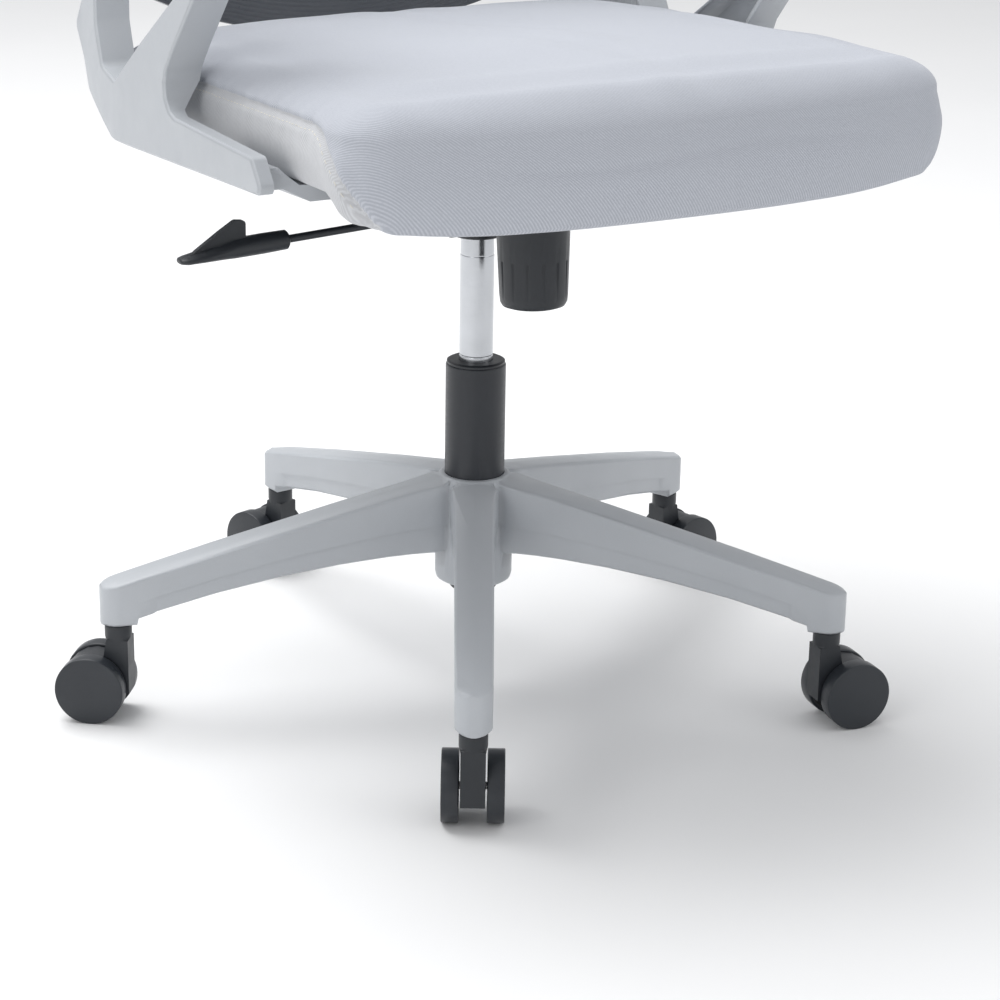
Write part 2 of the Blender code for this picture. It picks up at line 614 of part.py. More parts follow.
def make_knob(finishes, seat, floor_top):
    """A deep cup that screws up the bolt, with finger grooves round its lower half."""
    bottom = -KNOB_HEIGHT
    shelf = floor_top - KNOB_TOP
    wall = 0.003
    knob = turned("tension_knob", [
        (0, bottom), (KNOB_RADIUS - 0.009, bottom), (KNOB_RADIUS - 0.0045, bottom + 0.0015),
        (KNOB_RADIUS - 0.0028, bottom + 0.0045), (KNOB_RADIUS - 0.0022, bottom + 0.010),
        (KNOB_RADIUS, -0.001), (KNOB_RADIUS - 0.001, 0), (KNOB_RADIUS - wall, 0),
        (KNOB_RADIUS - wall - 0.0012, shelf), (BOLT_RADIUS + GAP, shelf),
        (BOLT_RADIUS + GAP, bottom + 0.003), (0, bottom + 0.003)], finishes["black_plastic"], 28,
        closed=False)
    place(knob, seat, (0, KNOB_Y, KNOB_TOP))
    for k in range(KNOB_GROOVES):
        angle = 2 * math.pi * k / KNOB_GROOVES
        groove = rod(f"groove_guide_{k + 1}", 0.0016, bottom - 0.01, bottom + KNOB_HEIGHT * 0.57,
                     finishes["black_plastic"], 6)
        reach = KNOB_RADIUS - 0.0011
        spot = (reach * math.cos(angle), KNOB_Y + reach * math.sin(angle), KNOB_TOP)
        use_as_tool(place(groove, seat, spot, (0, 0, angle)), knob)
    return knob


def make_lever(finishes, parent):
    """Rocker over the valve, rod and paddle; all turn about the rocker's hinge."""
    pivot = make_empty("lever_pivot", parent, (LEVER_PIVOT_X, LEVER_Y, LEVER_PIVOT_Z))
    drop = math.radians(LEVER_DROP_DEG)
    slope = make_empty("lever_slope", pivot, (0, 0, -LEVER_ROD_OFFSET), (0, -drop, 0))
    steel, black = finishes["black_steel"], finishes["black_plastic"]
    under = CHROME_TOP + BUTTON_PROUD + GAP - LEVER_PIVOT_Z
    block = 0.0065
    rocker = prism("valve_rocker", rounded([
        (-0.012, -block - LEVER_ROD_OFFSET, 0.001), (0.006, -block - LEVER_ROD_OFFSET, 0.001),
        (0.0095, under, 0), (0.047, under, 0.0008),
        (0.047, under + 0.0025, 0.0008), (0.006, block, 0.001), (-0.012, block, 0.001)], 2),
        -0.0065, 0.0065, "Y", steel)
    place(rocker, pivot)
    hole = rod("rod_hole_guide", LEVER_ROD_RADIUS + GAP, -0.02, 0.0045, steel, 16)
    use_as_tool(place(hole, slope, rotation=(0, math.pi / 2, 0)), rocker)
    rod_end = -(LEVER_REACH + LEVER_PIVOT_X)
    sleeve = rod_end + SLEEVE_LENGTH + PADDLE_LENGTH
    place(rod("lever_rod", LEVER_ROD_RADIUS, sleeve - 0.040, 0.0035, steel, 12),
          slope, rotation=(0, math.pi / 2, 0))
    make_paddle(black, slope, rod_end, sleeve)


def make_paddle(finish, slope, tip, sleeve):
    """Round sleeve that flattens into a finger paddle with an upright thumb fin."""
    bm = bmesh.new()
    rings = []
    blend_end = sleeve - SLEEVE_LENGTH
    for x, half_y, half_z, lift in (
            (sleeve, 0.0062, 0.0062, 0), (sleeve - 0.0015, 0.0078, 0.0078, 0),
            (sleeve - 0.022, 0.0082, 0.0082, 0), (blend_end, 0.0088, 0.0080, 0),
            (blend_end - 0.012, 0.0105, 0.0062, -0.001), (blend_end - 0.026, 0.0115, 0.0046, -0.002),
            (tip + 0.006, 0.0095, 0.0034, -0.003), (tip + 0.0015, 0.0070, 0.0026, -0.003),
            (tip, 0.0040, 0.0016, -0.003)):
        rings.append(add_ring(bm, [(x, half_y * math.cos(t), lift + half_z * math.sin(t))
                                   for t in (2 * math.pi * (k + 0.5) / 16 for k in range(16))]))
    for ring_a, ring_b in zip(rings, rings[1:], strict=False):
        bridge(bm, ring_a, ring_b)
    bm.faces.new(rings[0])
    bm.faces.new(rings[-1])
    handle = finish_mesh("lever_handle", bm, finish)
    place(handle, slope)
    fin = prism("thumb_fin_guide", rounded([
        (blend_end + 0.010, 0.003, 0.001), (blend_end + 0.011, 0.021, 0.003),
        (blend_end + 0.002, 0.0225, 0.004), (blend_end - 0.012, 0.015, 0.006),
        (tip + 0.012, 0.002, 0.002), (tip + 0.014, -0.003, 0.001)], 3), -0.0022, 0.0022, "Y", finish)
    use_as_tool(place(fin, slope), handle, "UNION")
    hole = rod("sleeve_hole_guide", LEVER_ROD_RADIUS + GAP, sleeve - 0.0405, sleeve + 0.01, finish, 16)
    use_as_tool(place(hole, slope, rotation=(0, math.pi / 2, 0)), handle)


# ---------------------------------------------------------------- seat
def seat_outline(steps=5):
    """Plan of the seat: straight sides, bowed front, rounded corners."""
    rear_half = SEAT_HALF_WIDTH - SEAT_REAR_NARROWING
    corners = [(-SEAT_HALF_WIDTH, SEAT_FRONT, SEAT_FRONT_CORNER),
               (SEAT_HALF_WIDTH, SEAT_FRONT, SEAT_FRONT_CORNER),
               (rear_half, SEAT_REAR, SEAT_REAR_CORNER), (-rear_half, SEAT_REAR, SEAT_REAR_CORNER)]
    outline = refine(rounded(corners, steps), 0.055)
    middle = (SEAT_FRONT + SEAT_REAR) / 2
    bowed = []
    for x, y in outline:
        across = 1 - min(1.0, abs(x) / SEAT_HALF_WIDTH) ** 2.2
        ahead = smooth_step((middle - y) / (middle - SEAT_FRONT))
        behind = smooth_step((y - middle) / (SEAT_REAR - middle))
        bowed.append((x, y - SEAT_FRONT_BOW * across * ahead + SEAT_REAR_BOW * across * behind))
    return bowed


def shrink(outline, distance):
    """Moves each point of a smooth outline inward, square to its neighbours."""
    moved = []
    count = len(outline)
    for i, (x, y) in enumerate(outline):
        before, after = outline[i - 1], outline[(i + 1) % count]
        along = Vector((after[0] - before[0], after[1] - before[1])).normalized()
        moved.append((x - along.y * distance, y + along.x * distance))
    return moved


def lip(y):
    """How far the lower edge hangs down: more at the front, where the seat rolls over."""
    corner = SEAT_CORNER_DROP * smooth_step((SEAT_FRONT + 0.065 - y) / 0.045)
    return corner + SEAT_LIP_DROP * smooth_step((SEAT_FRONT + 0.018 - y) / 0.032)


def crown(x, y):
    """Height of the seat's top above its seam line."""
    across = 1 - (abs(x) / SEAT_HALF_WIDTH) ** 2.5
    middle = (SEAT_FRONT - SEAT_FRONT_BOW + SEAT_REAR) / 2
    half = (SEAT_REAR - SEAT_FRONT + SEAT_FRONT_BOW) / 2
    along = 1 - (abs(y - middle) / half) ** 3
    return SEAT_CROWN * max(0.0, across) ** 0.6 * max(0.0, along) ** 0.6


def make_seat(finishes, seat):
    outline = seat_outline()
    pan_edge = shrink(outline, PAN_INSET + GAP)
    pan = prism("seat_pan", pan_edge, PAN_BOTTOM, PAN_BOTTOM + PAN_THICK, "Z",
                finishes["black_plastic"])
    place(pan, seat)
    make_cushion(finishes, seat, outline)

    plate_low = PAN_BOTTOM - GAP - SEAT_PLATE_THICK
    plate = prism("seat_plate", rounded([
        (-SEAT_PLATE_HALF, SEAT_PLATE_FRONT, 0.015), (SEAT_PLATE_HALF, SEAT_PLATE_FRONT, 0.015),
        (SEAT_PLATE_HALF, SEAT_PLATE_REAR, 0.015), (-SEAT_PLATE_HALF, SEAT_PLATE_REAR, 0.015)]),
        plate_low, plate_low + SEAT_PLATE_THICK, "Z", finishes["black_steel"])
    place(plate, seat)
    pivot_y, pivot_z = to_seat(TILT_PIVOT_Y, TILT_PIVOT_Z)
    near = HOUSING_HALF_WIDTH + 0.0012
    for name, low, high in (("left", near, near + 0.004), ("right", -near - 0.004, -near)):
        ear = prism(f"ear_guide_{name}", rounded([
            (pivot_y - 0.034, plate_low + 0.0015, 0), (pivot_y - 0.011, pivot_z - 0.011, 0.009),
            (pivot_y + 0.011, pivot_z - 0.011, 0.009), (pivot_y + 0.034, plate_low + 0.0015, 0)], 4),
            low, high, "X", finishes["black_steel"])
        use_as_tool(place(ear, seat), plate, "UNION")
    pin_hole = rod("plate_pin_guide", TILT_PIN_RADIUS + GAP, -0.06, 0.06, finishes["steel"], 16)
    use_as_tool(place(pin_hole, seat, (0, pivot_y, pivot_z), (0, math.pi / 2, 0)), plate)

    number = 0
    for x in (-1, 1):
        for y in (SEAT_PLATE_FRONT + 0.022, SEAT_PLATE_REAR - 0.022):
            number += 1
            spot = (x * (SEAT_PLATE_HALF - 0.018), y, 0)
            head = plate_low - GAP
            bolt = turned(f"seat_bolt_{number}", [
                (0, head - 0.0045), (SEAT_BOLT_RADIUS * 1.9, head - 0.0045),
                (SEAT_BOLT_RADIUS * 1.9, head), (SEAT_BOLT_RADIUS, head),
                (SEAT_BOLT_RADIUS, PAN_BOTTOM + PAN_THICK - 0.001), (0, PAN_BOTTOM + PAN_THICK - 0.001)],
                finishes["steel"], 12, closed=False)
            place(bolt, seat, spot)
            for target in (plate, pan):
                hole = rod(f"{target.name}_hole_guide_{number}", SEAT_BOLT_RADIUS + GAP, plate_low - 0.01,
                           PAN_BOTTOM + PAN_THICK + 0.01, finishes["steel"], 12)
                use_as_tool(place(hole, seat, spot), target)


def make_cushion(finishes, seat, outline):
    """Padded seat: its skirt wraps the pan, its front edge rolls over, its top is crowned."""
    seam = SEAM_HEIGHT
    rings = []

    def ring(distance, height, pull=0.0):
        middle = (SEAT_FRONT - SEAT_FRONT_BOW + SEAT_REAR) / 2
        drawn = [(x * (1 - pull), middle + (y - middle) * (1 - pull))
                 for x, y in shrink(outline, distance)]
        return [(x, y, height(x, y)) for x, y in drawn]

    rings.append(ring(PAN_INSET, lambda x, y: PAN_BOTTOM + PAN_THICK + GAP))
    rings.append(ring(PAN_INSET, lambda x, y: PAN_BOTTOM - lip(y)))
    rings.append(ring(0.014, lambda x, y: PAN_BOTTOM - lip(y) - 0.0005))
    rings.append(ring(0.005, lambda x, y: PAN_BOTTOM - lip(y) + 0.006))
    rings.append(ring(0.0, lambda x, y: (PAN_BOTTOM - lip(y)) * 0.45 + seam * 0.55 - lip(y) * 0.1))
    rings.append(ring(0.002, lambda x, y: seam - lip(y) * 0.35))
    rings.append(ring(0.012, lambda x, y: seam + 0.006 - lip(y) * 0.12 + crown(x, y) * 0.3))
    rings.append(ring(0.030, lambda x, y: seam + 0.006 + crown(x, y) * 0.75))
    for pull in (0.15, 0.40, 0.70):
        rings.append(ring(0.030, lambda x, y: seam + 0.006 + crown(x, y), pull))
    bm = bmesh.new()
    loops = [add_ring(bm, points) for points in rings]
    for loop_a, loop_b in zip(loops, loops[1:], strict=False):
        bridge(bm, loop_a, loop_b)
    cap(bm, [loops[0]])
    bm.faces.new(loops[-1])
    cushion = finish_mesh("seat_cushion", bm, finishes["fabric"], 50)
    return place(cushion, seat)


def to_seat(y, z):
    """Turns a place in the upright lift frame into the seat frame."""
    rise = z - SEAT_ORIGIN_Z
    return (y * math.cos(SEAT_RAKE) - rise * math.sin(SEAT_RAKE),
            y * math.sin(SEAT_RAKE) + rise * math.cos(SEAT_RAKE))


# ---------------------------------------------------------------- arms
def arm_inward(y, z):
    """How far the arm has closed in towards the backrest at a place on its outline."""
    bend = ARM_BEND * min(1.0, max(0.0, (y - 0.06) / 0.14)) ** 2
    lean = 0.06 * max(0.0, z - 0.09)
    return ARM_TOE * (y + 0.21) + bend + lean


def arm_depth(z):
    """The channel is shallow beside the seat and deeper above it."""
    return ARM_LEG_DEPTH + (ARM_DEPTH - ARM_LEG_DEPTH) * smooth_step((z - 0.040) / 0.025)


ARM_OUTER = [  # (y, z, corner radius) anticlockwise seen from the sitter's left
    (-0.201, 0.0079, 0.006), (0.112, 0.0040, 0.018), (0.1842, 0.0338, 0.020), (0.2175, 0.084, 0.010),
    (POST_REAR - 0.004, 0.108, 0.014), (POST_REAR, POST_TOP, 0.013), (POST_FRONT, POST_TOP, 0.013),
    (POST_FRONT - 0.002, ARM_TOP, 0.008), (-0.152, ARM_TOP, 0.016), (-0.136, 0.198, 0.060),
    (0.0115, 0.0434, 0.020), (-0.182, 0.0335, 0.006)]
ARM_LOOP = [
    (0.1004, 0.0523, 0.003), (0.1345, 0.0600, 0.010), (0.150, 0.094, 0.012),
    (POST_FRONT - 0.002, ARM_TOP - 0.026, 0.016), (-0.105, ARM_TOP - 0.026, 0.020),
    (-0.050, 0.140, 0.050)]


def arm_foot(side):
    """Section of the arm's foot: out of the channel and down under the seat pan."""
    top = PAN_BOTTOM - 0.001
    return [(side * x, z) for x, z in (
        (0.1700, -0.0015), (0.2360, -0.0015), (0.2570, 0.0095), (0.2765, 0.0095), (0.2765, 0.0250),
        (0.2600, 0.0250), (0.2550, 0.0200), (0.2440, top), (0.1700, top))]


def make_arm(name, side, finishes, seat):
    """One-piece loop: an outer face with a rim, open like a channel towards the seat."""
    bm = bmesh.new()
    faces, floors = [], []
    for points, grow in ((ARM_OUTER, 1), (ARM_LOOP, -1)):
        edge = rounded(points)
        soft = rounded(inset(points, grow * ARM_EDGE))
        rim = rounded(inset(points, grow * ARM_WALL))
        rings = []
        for flat, depth_at in ((soft, lambda z: 0.0), (edge, lambda z: ARM_EDGE), (edge, arm_depth),
                               (rim, arm_depth), (rim, lambda z: ARM_WALL + 0.002)):
            fine = refine(flat, 0.03, like=edge)
            rings.append(add_ring(bm, [(side * (ARM_PLANE - depth_at(z) - arm_inward(y, z)), y, z)
                                       for y, z in fine]))
        for ring_a, ring_b in zip(rings, rings[1:], strict=False):
            bridge(bm, ring_a, ring_b)
        faces.append(rings[0])
        floors.append(rings[-1])
    cap_sideways(bm, faces)
    cap_sideways(bm, floors)
    arm = finish_mesh(name, bm, finishes["grey_plastic"], 40)
    place(arm, seat)
    foot = prism(f"{name}_foot_guide", arm_foot(side), ARM_FOOT_FRONT, ARM_FOOT_REAR, "Y",
                 finishes["grey_plastic"])
    use_as_tool(place(foot, seat), arm, "UNION")
    return arm


def cap_sideways(bm, rings):
    """Fills a gently bent face with holes, judging its shape from the side."""
    verts = [vert for ring in rings for vert in ring]
    edges = []
    for ring in rings:
        start = verts.index(ring[0])
        edges += [(start + k, start + (k + 1) % len(ring)) for k in range(len(ring))]
    flat = [Vector((vert.co.y, vert.co.z)) for vert in verts]
    outer, hole = ([Vector((v.co.y, v.co.z)) for v in ring] for ring in rings)
    for face in delaunay_2d_cdt(flat, edges, [], 1, 1e-7)[2]:
        middle = sum((flat[i] for i in face), Vector((0, 0))) / 3
        if is_within(middle, outer) and not is_within(middle, hole):
            bm.faces.new([verts[i] for i in face])


def is_within(point, outline):
    """Whether a flat point lies inside a closed outline."""
    inside = False
    for a, b in zip(outline, [*outline[1:], outline[0]], strict=True):
        if (a.y > point.y) != (b.y > point.y):
            if point.x < a.x + (point.y - a.y) * (b.x - a.x) / (b.y - a.y):
                inside = not inside
    return inside


def make_pad(name, side, finishes, seat):
    """Soft pad with a flat top and rounded edges, screwed down on the arm's top rail."""
    low = ARM_TOP + GAP
    bm = bmesh.new()
    rings = []
    for distance, z in ((0.003, low), (0.0, low + 0.003), (0.0, low + PAD_THICK - 0.004),
                        (0.0015, low + PAD_THICK - 0.0012), (0.004, low + PAD_THICK)):
        front, rear = PAD_FRONT + distance, PAD_REAR - distance
        half = PAD_HALF_WIDTH - distance
        outline = rounded([(-half, front, 0.020 - distance), (half, front, 0.020 - distance),
                           (half, rear, 0.012 - distance), (-half, rear, 0.012 - distance)], 5)
        rings.append(add_ring(bm, [
            (side * (ARM_PLANE - ARM_DEPTH / 2 - arm_inward(min(y, 0.06), ARM_TOP)) + x, y, z)
            for x, y in outline]))
    for ring_a, ring_b in zip(rings, rings[1:], strict=False):
        bridge(bm, ring_a, ring_b)
    bm.faces.new(rings[0])
    bm.faces.new(rings[-1])
    return place(finish_mesh(name, bm, finishes["pad_rubber"], 50), seat)


# ---------------------------------------------------------------- back
def back_bend(x, up):
    """How far the back stands forward or rearward of its flat plane."""
    span = BACK_TOP - BACK_BOTTOM
    height = up / span
    dish = BACK_CURVE * (1 - (x / BACK_HALF_WIDTH) ** 2)
    lumbar = -0.020 * math.exp(-((height - 0.30) / 0.28) ** 2)
    return dish + lumbar


def back_outline():
    span = BACK_TOP - BACK_BOTTOM
    low_half = BACK_HALF_WIDTH - 0.035
    return [(-low_half, 0.0, 0.045), (low_half, 0.0, 0.045), (BACK_HALF_WIDTH, 0.080, 0.06),
            (BACK_HALF_WIDTH, span * 0.62, 0.20), (BACK_HALF_WIDTH - 0.020, span, 0.060),
            (-BACK_HALF_WIDTH + 0.020, span, 0.060), (-BACK_HALF_WIDTH, span * 0.62, 0.20),
            (-BACK_HALF_WIDTH, 0.080, 0.06)]


def make_back(finishes, seat):
    lean = make_empty("back_lean", seat, (0, BACK_PLANE_Y, BACK_BOTTOM),
                      (-math.radians(BACK_RECLINE_DEG), 0, 0))
    points = back_outline()
    edge = rounded(points)
    t = BACK_RAIL_DEPTH / 2
    c = 0.004
    section = [(c, -t), (0.0, -t + c), (0.0, t - c), (c, t), (BACK_RAIL - c, t), (BACK_RAIL, t - c),
               (BACK_RAIL, -t + c), (BACK_RAIL - c, -t)]
    bm = bmesh.new()
    rings = []
    for distance, depth in section:
        fine = refine(rounded(inset(points, distance)), 0.035, like=edge)
        rings.append(add_ring(bm, [(x, depth + back_bend(x, up), up) for x, up in fine]))
    for ring_a, ring_b in zip(rings, [*rings[1:], rings[0]], strict=True):
        bridge(bm, ring_a, ring_b)
    frame = finish_mesh("back_frame", bm, finishes["grey_plastic"], 50)
    place(frame, lean)
    make_back_mesh(finishes, lean, points, edge)
    make_band(finishes, seat)
    for name, side in (("right", -1), ("left", 1)):
        start = BACK_HALF_WIDTH - BACK_RAIL + 0.006
        shoulder = BACK_HALF_WIDTH + 0.0005
        tip = ARM_PLANE - ARM_WALL - 0.0050 - arm_inward(BACK_BOLT_Y, BACK_BOLT_Z)
        bolt = turned(f"back_bolt_{name}", [
            (0, start), (BACK_BOLT_RADIUS, start), (BACK_BOLT_RADIUS, shoulder),
            (BACK_BOSS_RADIUS, shoulder), (BACK_BOSS_RADIUS, tip), (0, tip)],
            finishes["steel"], 12, closed=False)
        spot, turn = (0, BACK_BOLT_Y, BACK_BOLT_Z), (0, side * math.pi / 2, 0)
        place(bolt, seat, spot, turn)
        hole = rod(f"back_bolt_guide_{name}", BACK_BOLT_RADIUS + GAP, start - GAP, tip + 0.02,
                   finishes["steel"], 12)
        use_as_tool(place(hole, seat, spot, turn), frame)


def make_back_mesh(finishes, lean, points, edge):
    """Stretched net: a thin curved panel that fills the frame's opening."""
    bm = bmesh.new()
    sides = []
    for depth in (-MESH_THICK / 2, MESH_THICK / 2):
        rings = []
        for distance in (BACK_RAIL + GAP, BACK_RAIL + 0.035, BACK_RAIL + 0.070, BACK_RAIL + 0.105):
            fine = refine(rounded(inset(points, distance)), 0.035, like=edge)
            rings.append(add_ring(bm, [(x, depth + back_bend(x, up), up) for x, up in fine]))
        for ring_a, ring_b in zip(rings, rings[1:], strict=False):
            bridge(bm, ring_a, ring_b)
        middle = rings[-1]
        loops = [[Vector((v.co.x, v.co.z, 0)) for v in middle]]
        for a, b, c in tessellate_polygon(loops):
            bm.faces.new((middle[a], middle[b], middle[c]))
        sides.append(rings[0])
    bridge(bm, *sides)
    return place(finish_mesh("back_mesh", bm, finishes["mesh"], 50), lean)


def make_band(finishes, seat):
    """Curved lumbar band behind the seat, ribbed along its length."""
    bm = bmesh.new()
    section = []
    pitch = BAND_HEIGHT / BAND_RIBS
    for k in range(BAND_RIBS):
        section += [(-BAND_THICK / 2, (k + 0.2) * pitch), (-BAND_THICK / 2 + 0.0012, (k + 0.6) * pitch)]
    section = [*section, (-BAND_THICK / 2, BAND_HEIGHT),
               (BAND_THICK / 2, BAND_HEIGHT), (BAND_THICK / 2, 0.0)]
    rings = []
    count = 18
    for i in range(count + 1):
        x = BAND_HALF_LENGTH * (2 * i / count - 1)
        share = x / 0.20
        low = BAND_LOW + BAND_SAG * share ** 2
        y = BAND_REAR - BAND_BOW * (x / 0.222) ** 2
        rings.append(add_ring(bm, [(x, y + dy, low + dz) for dy, dz in section]))
    for ring_a, ring_b in zip(rings, rings[1:], strict=False):
        bridge(bm, ring_a, ring_b)
    for ring in (rings[0], rings[-1]):
        loops = [[Vector((v.co.y, v.co.z, 0)) for v in ring]]
        for a, b, c in tessellate_polygon(loops):
            bm.faces.new((ring[a], ring[b], ring[c]))
    return place(finish_mesh("lumbar_band", bm, finishes["black_plastic"], 30), seat)


# ---------------------------------------------------------------- the chair
def main():
    clear_scene()
    finishes = {
        "grey_plastic": make_material("light_grey_plastic", (0.49, 0.51, 0.52), 0.45),
        "black_plastic": make_material("black_plastic", (0.035, 0.038, 0.043), 0.5),
        "black_steel": make_material("black_steel", (0.03, 0.031, 0.034), 0.4, 0.6),
        "chrome": make_material("chrome", (0.75, 0.76, 0.78), 0.12, 1.0),
        "steel": make_material("plain_steel", (0.50, 0.50, 0.51), 0.3, 1.0),
        "fabric": make_material("grey_fabric", (0.60, 0.62, 0.66), 0.9),
        "mesh": make_material("grey_net", (0.45, 0.47, 0.50), 0.85),
        "pad_rubber": make_material("pad_rubber", (0.30, 0.31, 0.32), 0.6),
    }
    lift = make_empty("lift_axis", None, (LIFT_X, LIFT_Y, 0))
    seat = make_empty("seat_frame", lift, (0, 0, SEAT_ORIGIN_Z), (-SEAT_RAKE, 0, 0))
    make_base(finishes["grey_plastic"], lift)
    for number in range(1, LEG_COUNT + 1):
        make_castor(number, finishes, lift)
    make_gas_lift(finishes, lift)
    make_mechanism(finishes, lift, seat)
    make_lever(finishes, lift)
    make_seat(finishes, seat)
    for name, side in (("right", -1), ("left", 1)):
        make_arm(f"arm_{name}", side, finishes, seat)
        make_pad(f"arm_pad_{name}", side, finishes, seat)
    make_back(finishes, seat)


main()
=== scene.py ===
# %% [markdown]
# # A mesh-back task chair, dressed for a studio picture
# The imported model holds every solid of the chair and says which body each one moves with.
# This lesson keeps those solids where they are. It gives them fine materials, and it makes
# the soft pieces, the wheels and the stitching anew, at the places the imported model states.

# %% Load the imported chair
import json
import math

import bmesh
import bpy
import numpy as np
from mathutils import Matrix, Vector


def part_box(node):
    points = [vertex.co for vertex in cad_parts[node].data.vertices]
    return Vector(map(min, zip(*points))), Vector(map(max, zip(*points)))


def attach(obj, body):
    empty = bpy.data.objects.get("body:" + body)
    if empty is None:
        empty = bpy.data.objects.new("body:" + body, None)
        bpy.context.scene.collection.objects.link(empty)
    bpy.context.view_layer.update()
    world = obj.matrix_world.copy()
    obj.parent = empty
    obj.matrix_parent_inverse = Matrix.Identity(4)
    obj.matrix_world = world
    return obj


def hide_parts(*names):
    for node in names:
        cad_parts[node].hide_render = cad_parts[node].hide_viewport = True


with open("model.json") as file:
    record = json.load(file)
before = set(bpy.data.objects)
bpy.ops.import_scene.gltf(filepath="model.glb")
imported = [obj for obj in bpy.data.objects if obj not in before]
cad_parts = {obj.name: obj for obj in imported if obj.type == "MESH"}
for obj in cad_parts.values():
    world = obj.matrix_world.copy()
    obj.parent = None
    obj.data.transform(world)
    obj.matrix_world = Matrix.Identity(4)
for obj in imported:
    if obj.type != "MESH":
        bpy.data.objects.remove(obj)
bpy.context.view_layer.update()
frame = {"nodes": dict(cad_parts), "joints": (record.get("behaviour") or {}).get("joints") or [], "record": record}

nodes = frame["nodes"]
print("pieces loaded:", len(nodes))

# %% [markdown]
# ## Where the seat sits
# Everything above the gas lift was drawn in a frame of its own that leans back by three
# degrees. The same frame is handy here, so that a seam can be drawn at one height and still
# follow the lean. Its place on the floor comes from the chrome tube's box, and its height
# and lean are stated here.

# %% The seat's own frame
lift_low, lift_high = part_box("pressure_tube")
lift_x = (lift_low[0] + lift_high[0]) / 2
lift_y = (lift_low[1] + lift_high[1]) / 2
SEAT_HEIGHT = 0.470
SEAT_RAKE = math.radians(3.0)
seat_frame = (Matrix.Translation((lift_x, lift_y, SEAT_HEIGHT))
              @ Matrix.Rotation(-SEAT_RAKE, 4, "X"))
print("lift axis at", round(lift_x, 4), round(lift_y, 4))


def in_world(points):
    """Turns points of the seat's frame into world points."""
    turn = np.array(seat_frame)
    points = np.asarray(points, dtype=float)
    return points @ turn[:3, :3].T + turn[:3, 3]


# %% [markdown]
# ## Building materials from nodes
# Each finish is a small graph: a texture coordinate feeds noise and waves, and these feed
# colour, roughness and bump. A few helpers keep the graphs short to read.

# %% Helpers for material graphs
def new_finish(name):
    finish = bpy.data.materials.new(name)
    finish.use_nodes = True
    tree = finish.node_tree
    return finish, tree, tree.nodes["Principled BSDF"]


def add_node(tree, kind, inputs=None, **settings):
    """Adds a node, sets its options and fills its sockets with numbers or links."""
    node = tree.nodes.new(kind)
    for key, value in settings.items():
        setattr(node, key, value)
    for key, value in (inputs or {}).items():
        if isinstance(value, bpy.types.NodeSocket):
            tree.links.new(value, node.inputs[key])
        else:
            node.inputs[key].default_value = value
    return node


def object_place(tree):
    return add_node(tree, "ShaderNodeTexCoord").outputs["Object"]


def noise(tree, place, scale, detail=3.0, roughness=0.5):
    return add_node(tree, "ShaderNodeTexNoise", {
        "Vector": place, "Scale": scale, "Detail": detail, "Roughness": roughness}).outputs["Fac"]


def spread(tree, value, low, high, from_low=0.3, from_high=0.7):
    """Stretches a texture's value onto a chosen range."""
    return add_node(tree, "ShaderNodeMapRange", {
        "Value": value, "From Min": from_low, "From Max": from_high,
        "To Min": low, "To Max": high}).outputs["Result"]


def blend_colours(tree, amount, first, second):
    mix = add_node(tree, "ShaderNodeMix", data_type="RGBA")
    tree.links.new(amount, mix.inputs[0])
    for socket, colour in ((mix.inputs[6], first), (mix.inputs[7], second)):
        if isinstance(colour, bpy.types.NodeSocket):
            tree.links.new(colour, socket)
        else:
            socket.default_value = (*colour, 1.0)
    return mix.outputs[2]


def add_bump(tree, shader, height, strength, distance):
    bump = add_node(tree, "ShaderNodeBump", {"Strength": strength, "Distance": distance,
                                             "Height": height})
    tree.links.new(bump.outputs["Normal"], shader.inputs["Normal"])
    return bump


# %% [markdown]
# ## Moulded plastic
# Injection-moulded plastic is never one flat tone. Its steel mould was spark-eroded, which
# leaves a grain of a few tenths of a millimetre, and handling polishes patches of it. So the
# colour drifts a little over centimetres, and the roughness and the bump carry the grain.

# %% The plastics
def moulded_plastic(name, colour, worn_colour, rough, grain, grain_depth):
    finish, tree, shader = new_finish(name)
    place = object_place(tree)
    drift = noise(tree, place, 9.0, 4.0)
    speck = noise(tree, place, grain, 2.0, 0.6)
    toned = blend_colours(tree, spread(tree, drift, 0.0, 1.0), colour, worn_colour)
    dusted = blend_colours(tree, spread(tree, speck, 0.0, 0.18, 0.45, 0.8), toned,
                           tuple(min(1.0, c * 1.25 + 0.01) for c in worn_colour))
    tree.links.new(dusted, shader.inputs["Base Color"])
    rub = noise(tree, place, 38.0, 5.0, 0.65)
    tree.links.new(spread(tree, rub, rough - 0.07, rough + 0.08), shader.inputs["Roughness"])
    add_bump(tree, shader, speck, 0.35, grain_depth)
    return finish


grey_plastic = moulded_plastic("light_grey_plastic", (0.43, 0.45, 0.475), (0.46, 0.48, 0.505),
                               0.40, 1500.0, 0.00012)
black_plastic = moulded_plastic("black_plastic", (0.012, 0.015, 0.019), (0.019, 0.022, 0.027),
                                0.42, 1300.0, 0.00015)
pan_plastic = moulded_plastic("seat_pan_plastic", (0.025, 0.027, 0.030), (0.035, 0.037, 0.040),
                              0.60, 900.0, 0.0002)
wheel_plastic = moulded_plastic("wheel_plastic", (0.013, 0.016, 0.021), (0.024, 0.028, 0.034),
                                0.36, 1100.0, 0.00012)
band_plastic = moulded_plastic("band_plastic", (0.070, 0.077, 0.090), (0.090, 0.097, 0.110),
                               0.34, 1300.0, 0.00010)
print("plastics ready")

# %% [markdown]
# ## Metals
# Hard chrome reflects softly here, with faint rub marks round the tube where the bush slides.
# Powder coat is a thin orange-peel skin on steel. Zinc-plated screws are duller, with a fine
# turned grain.

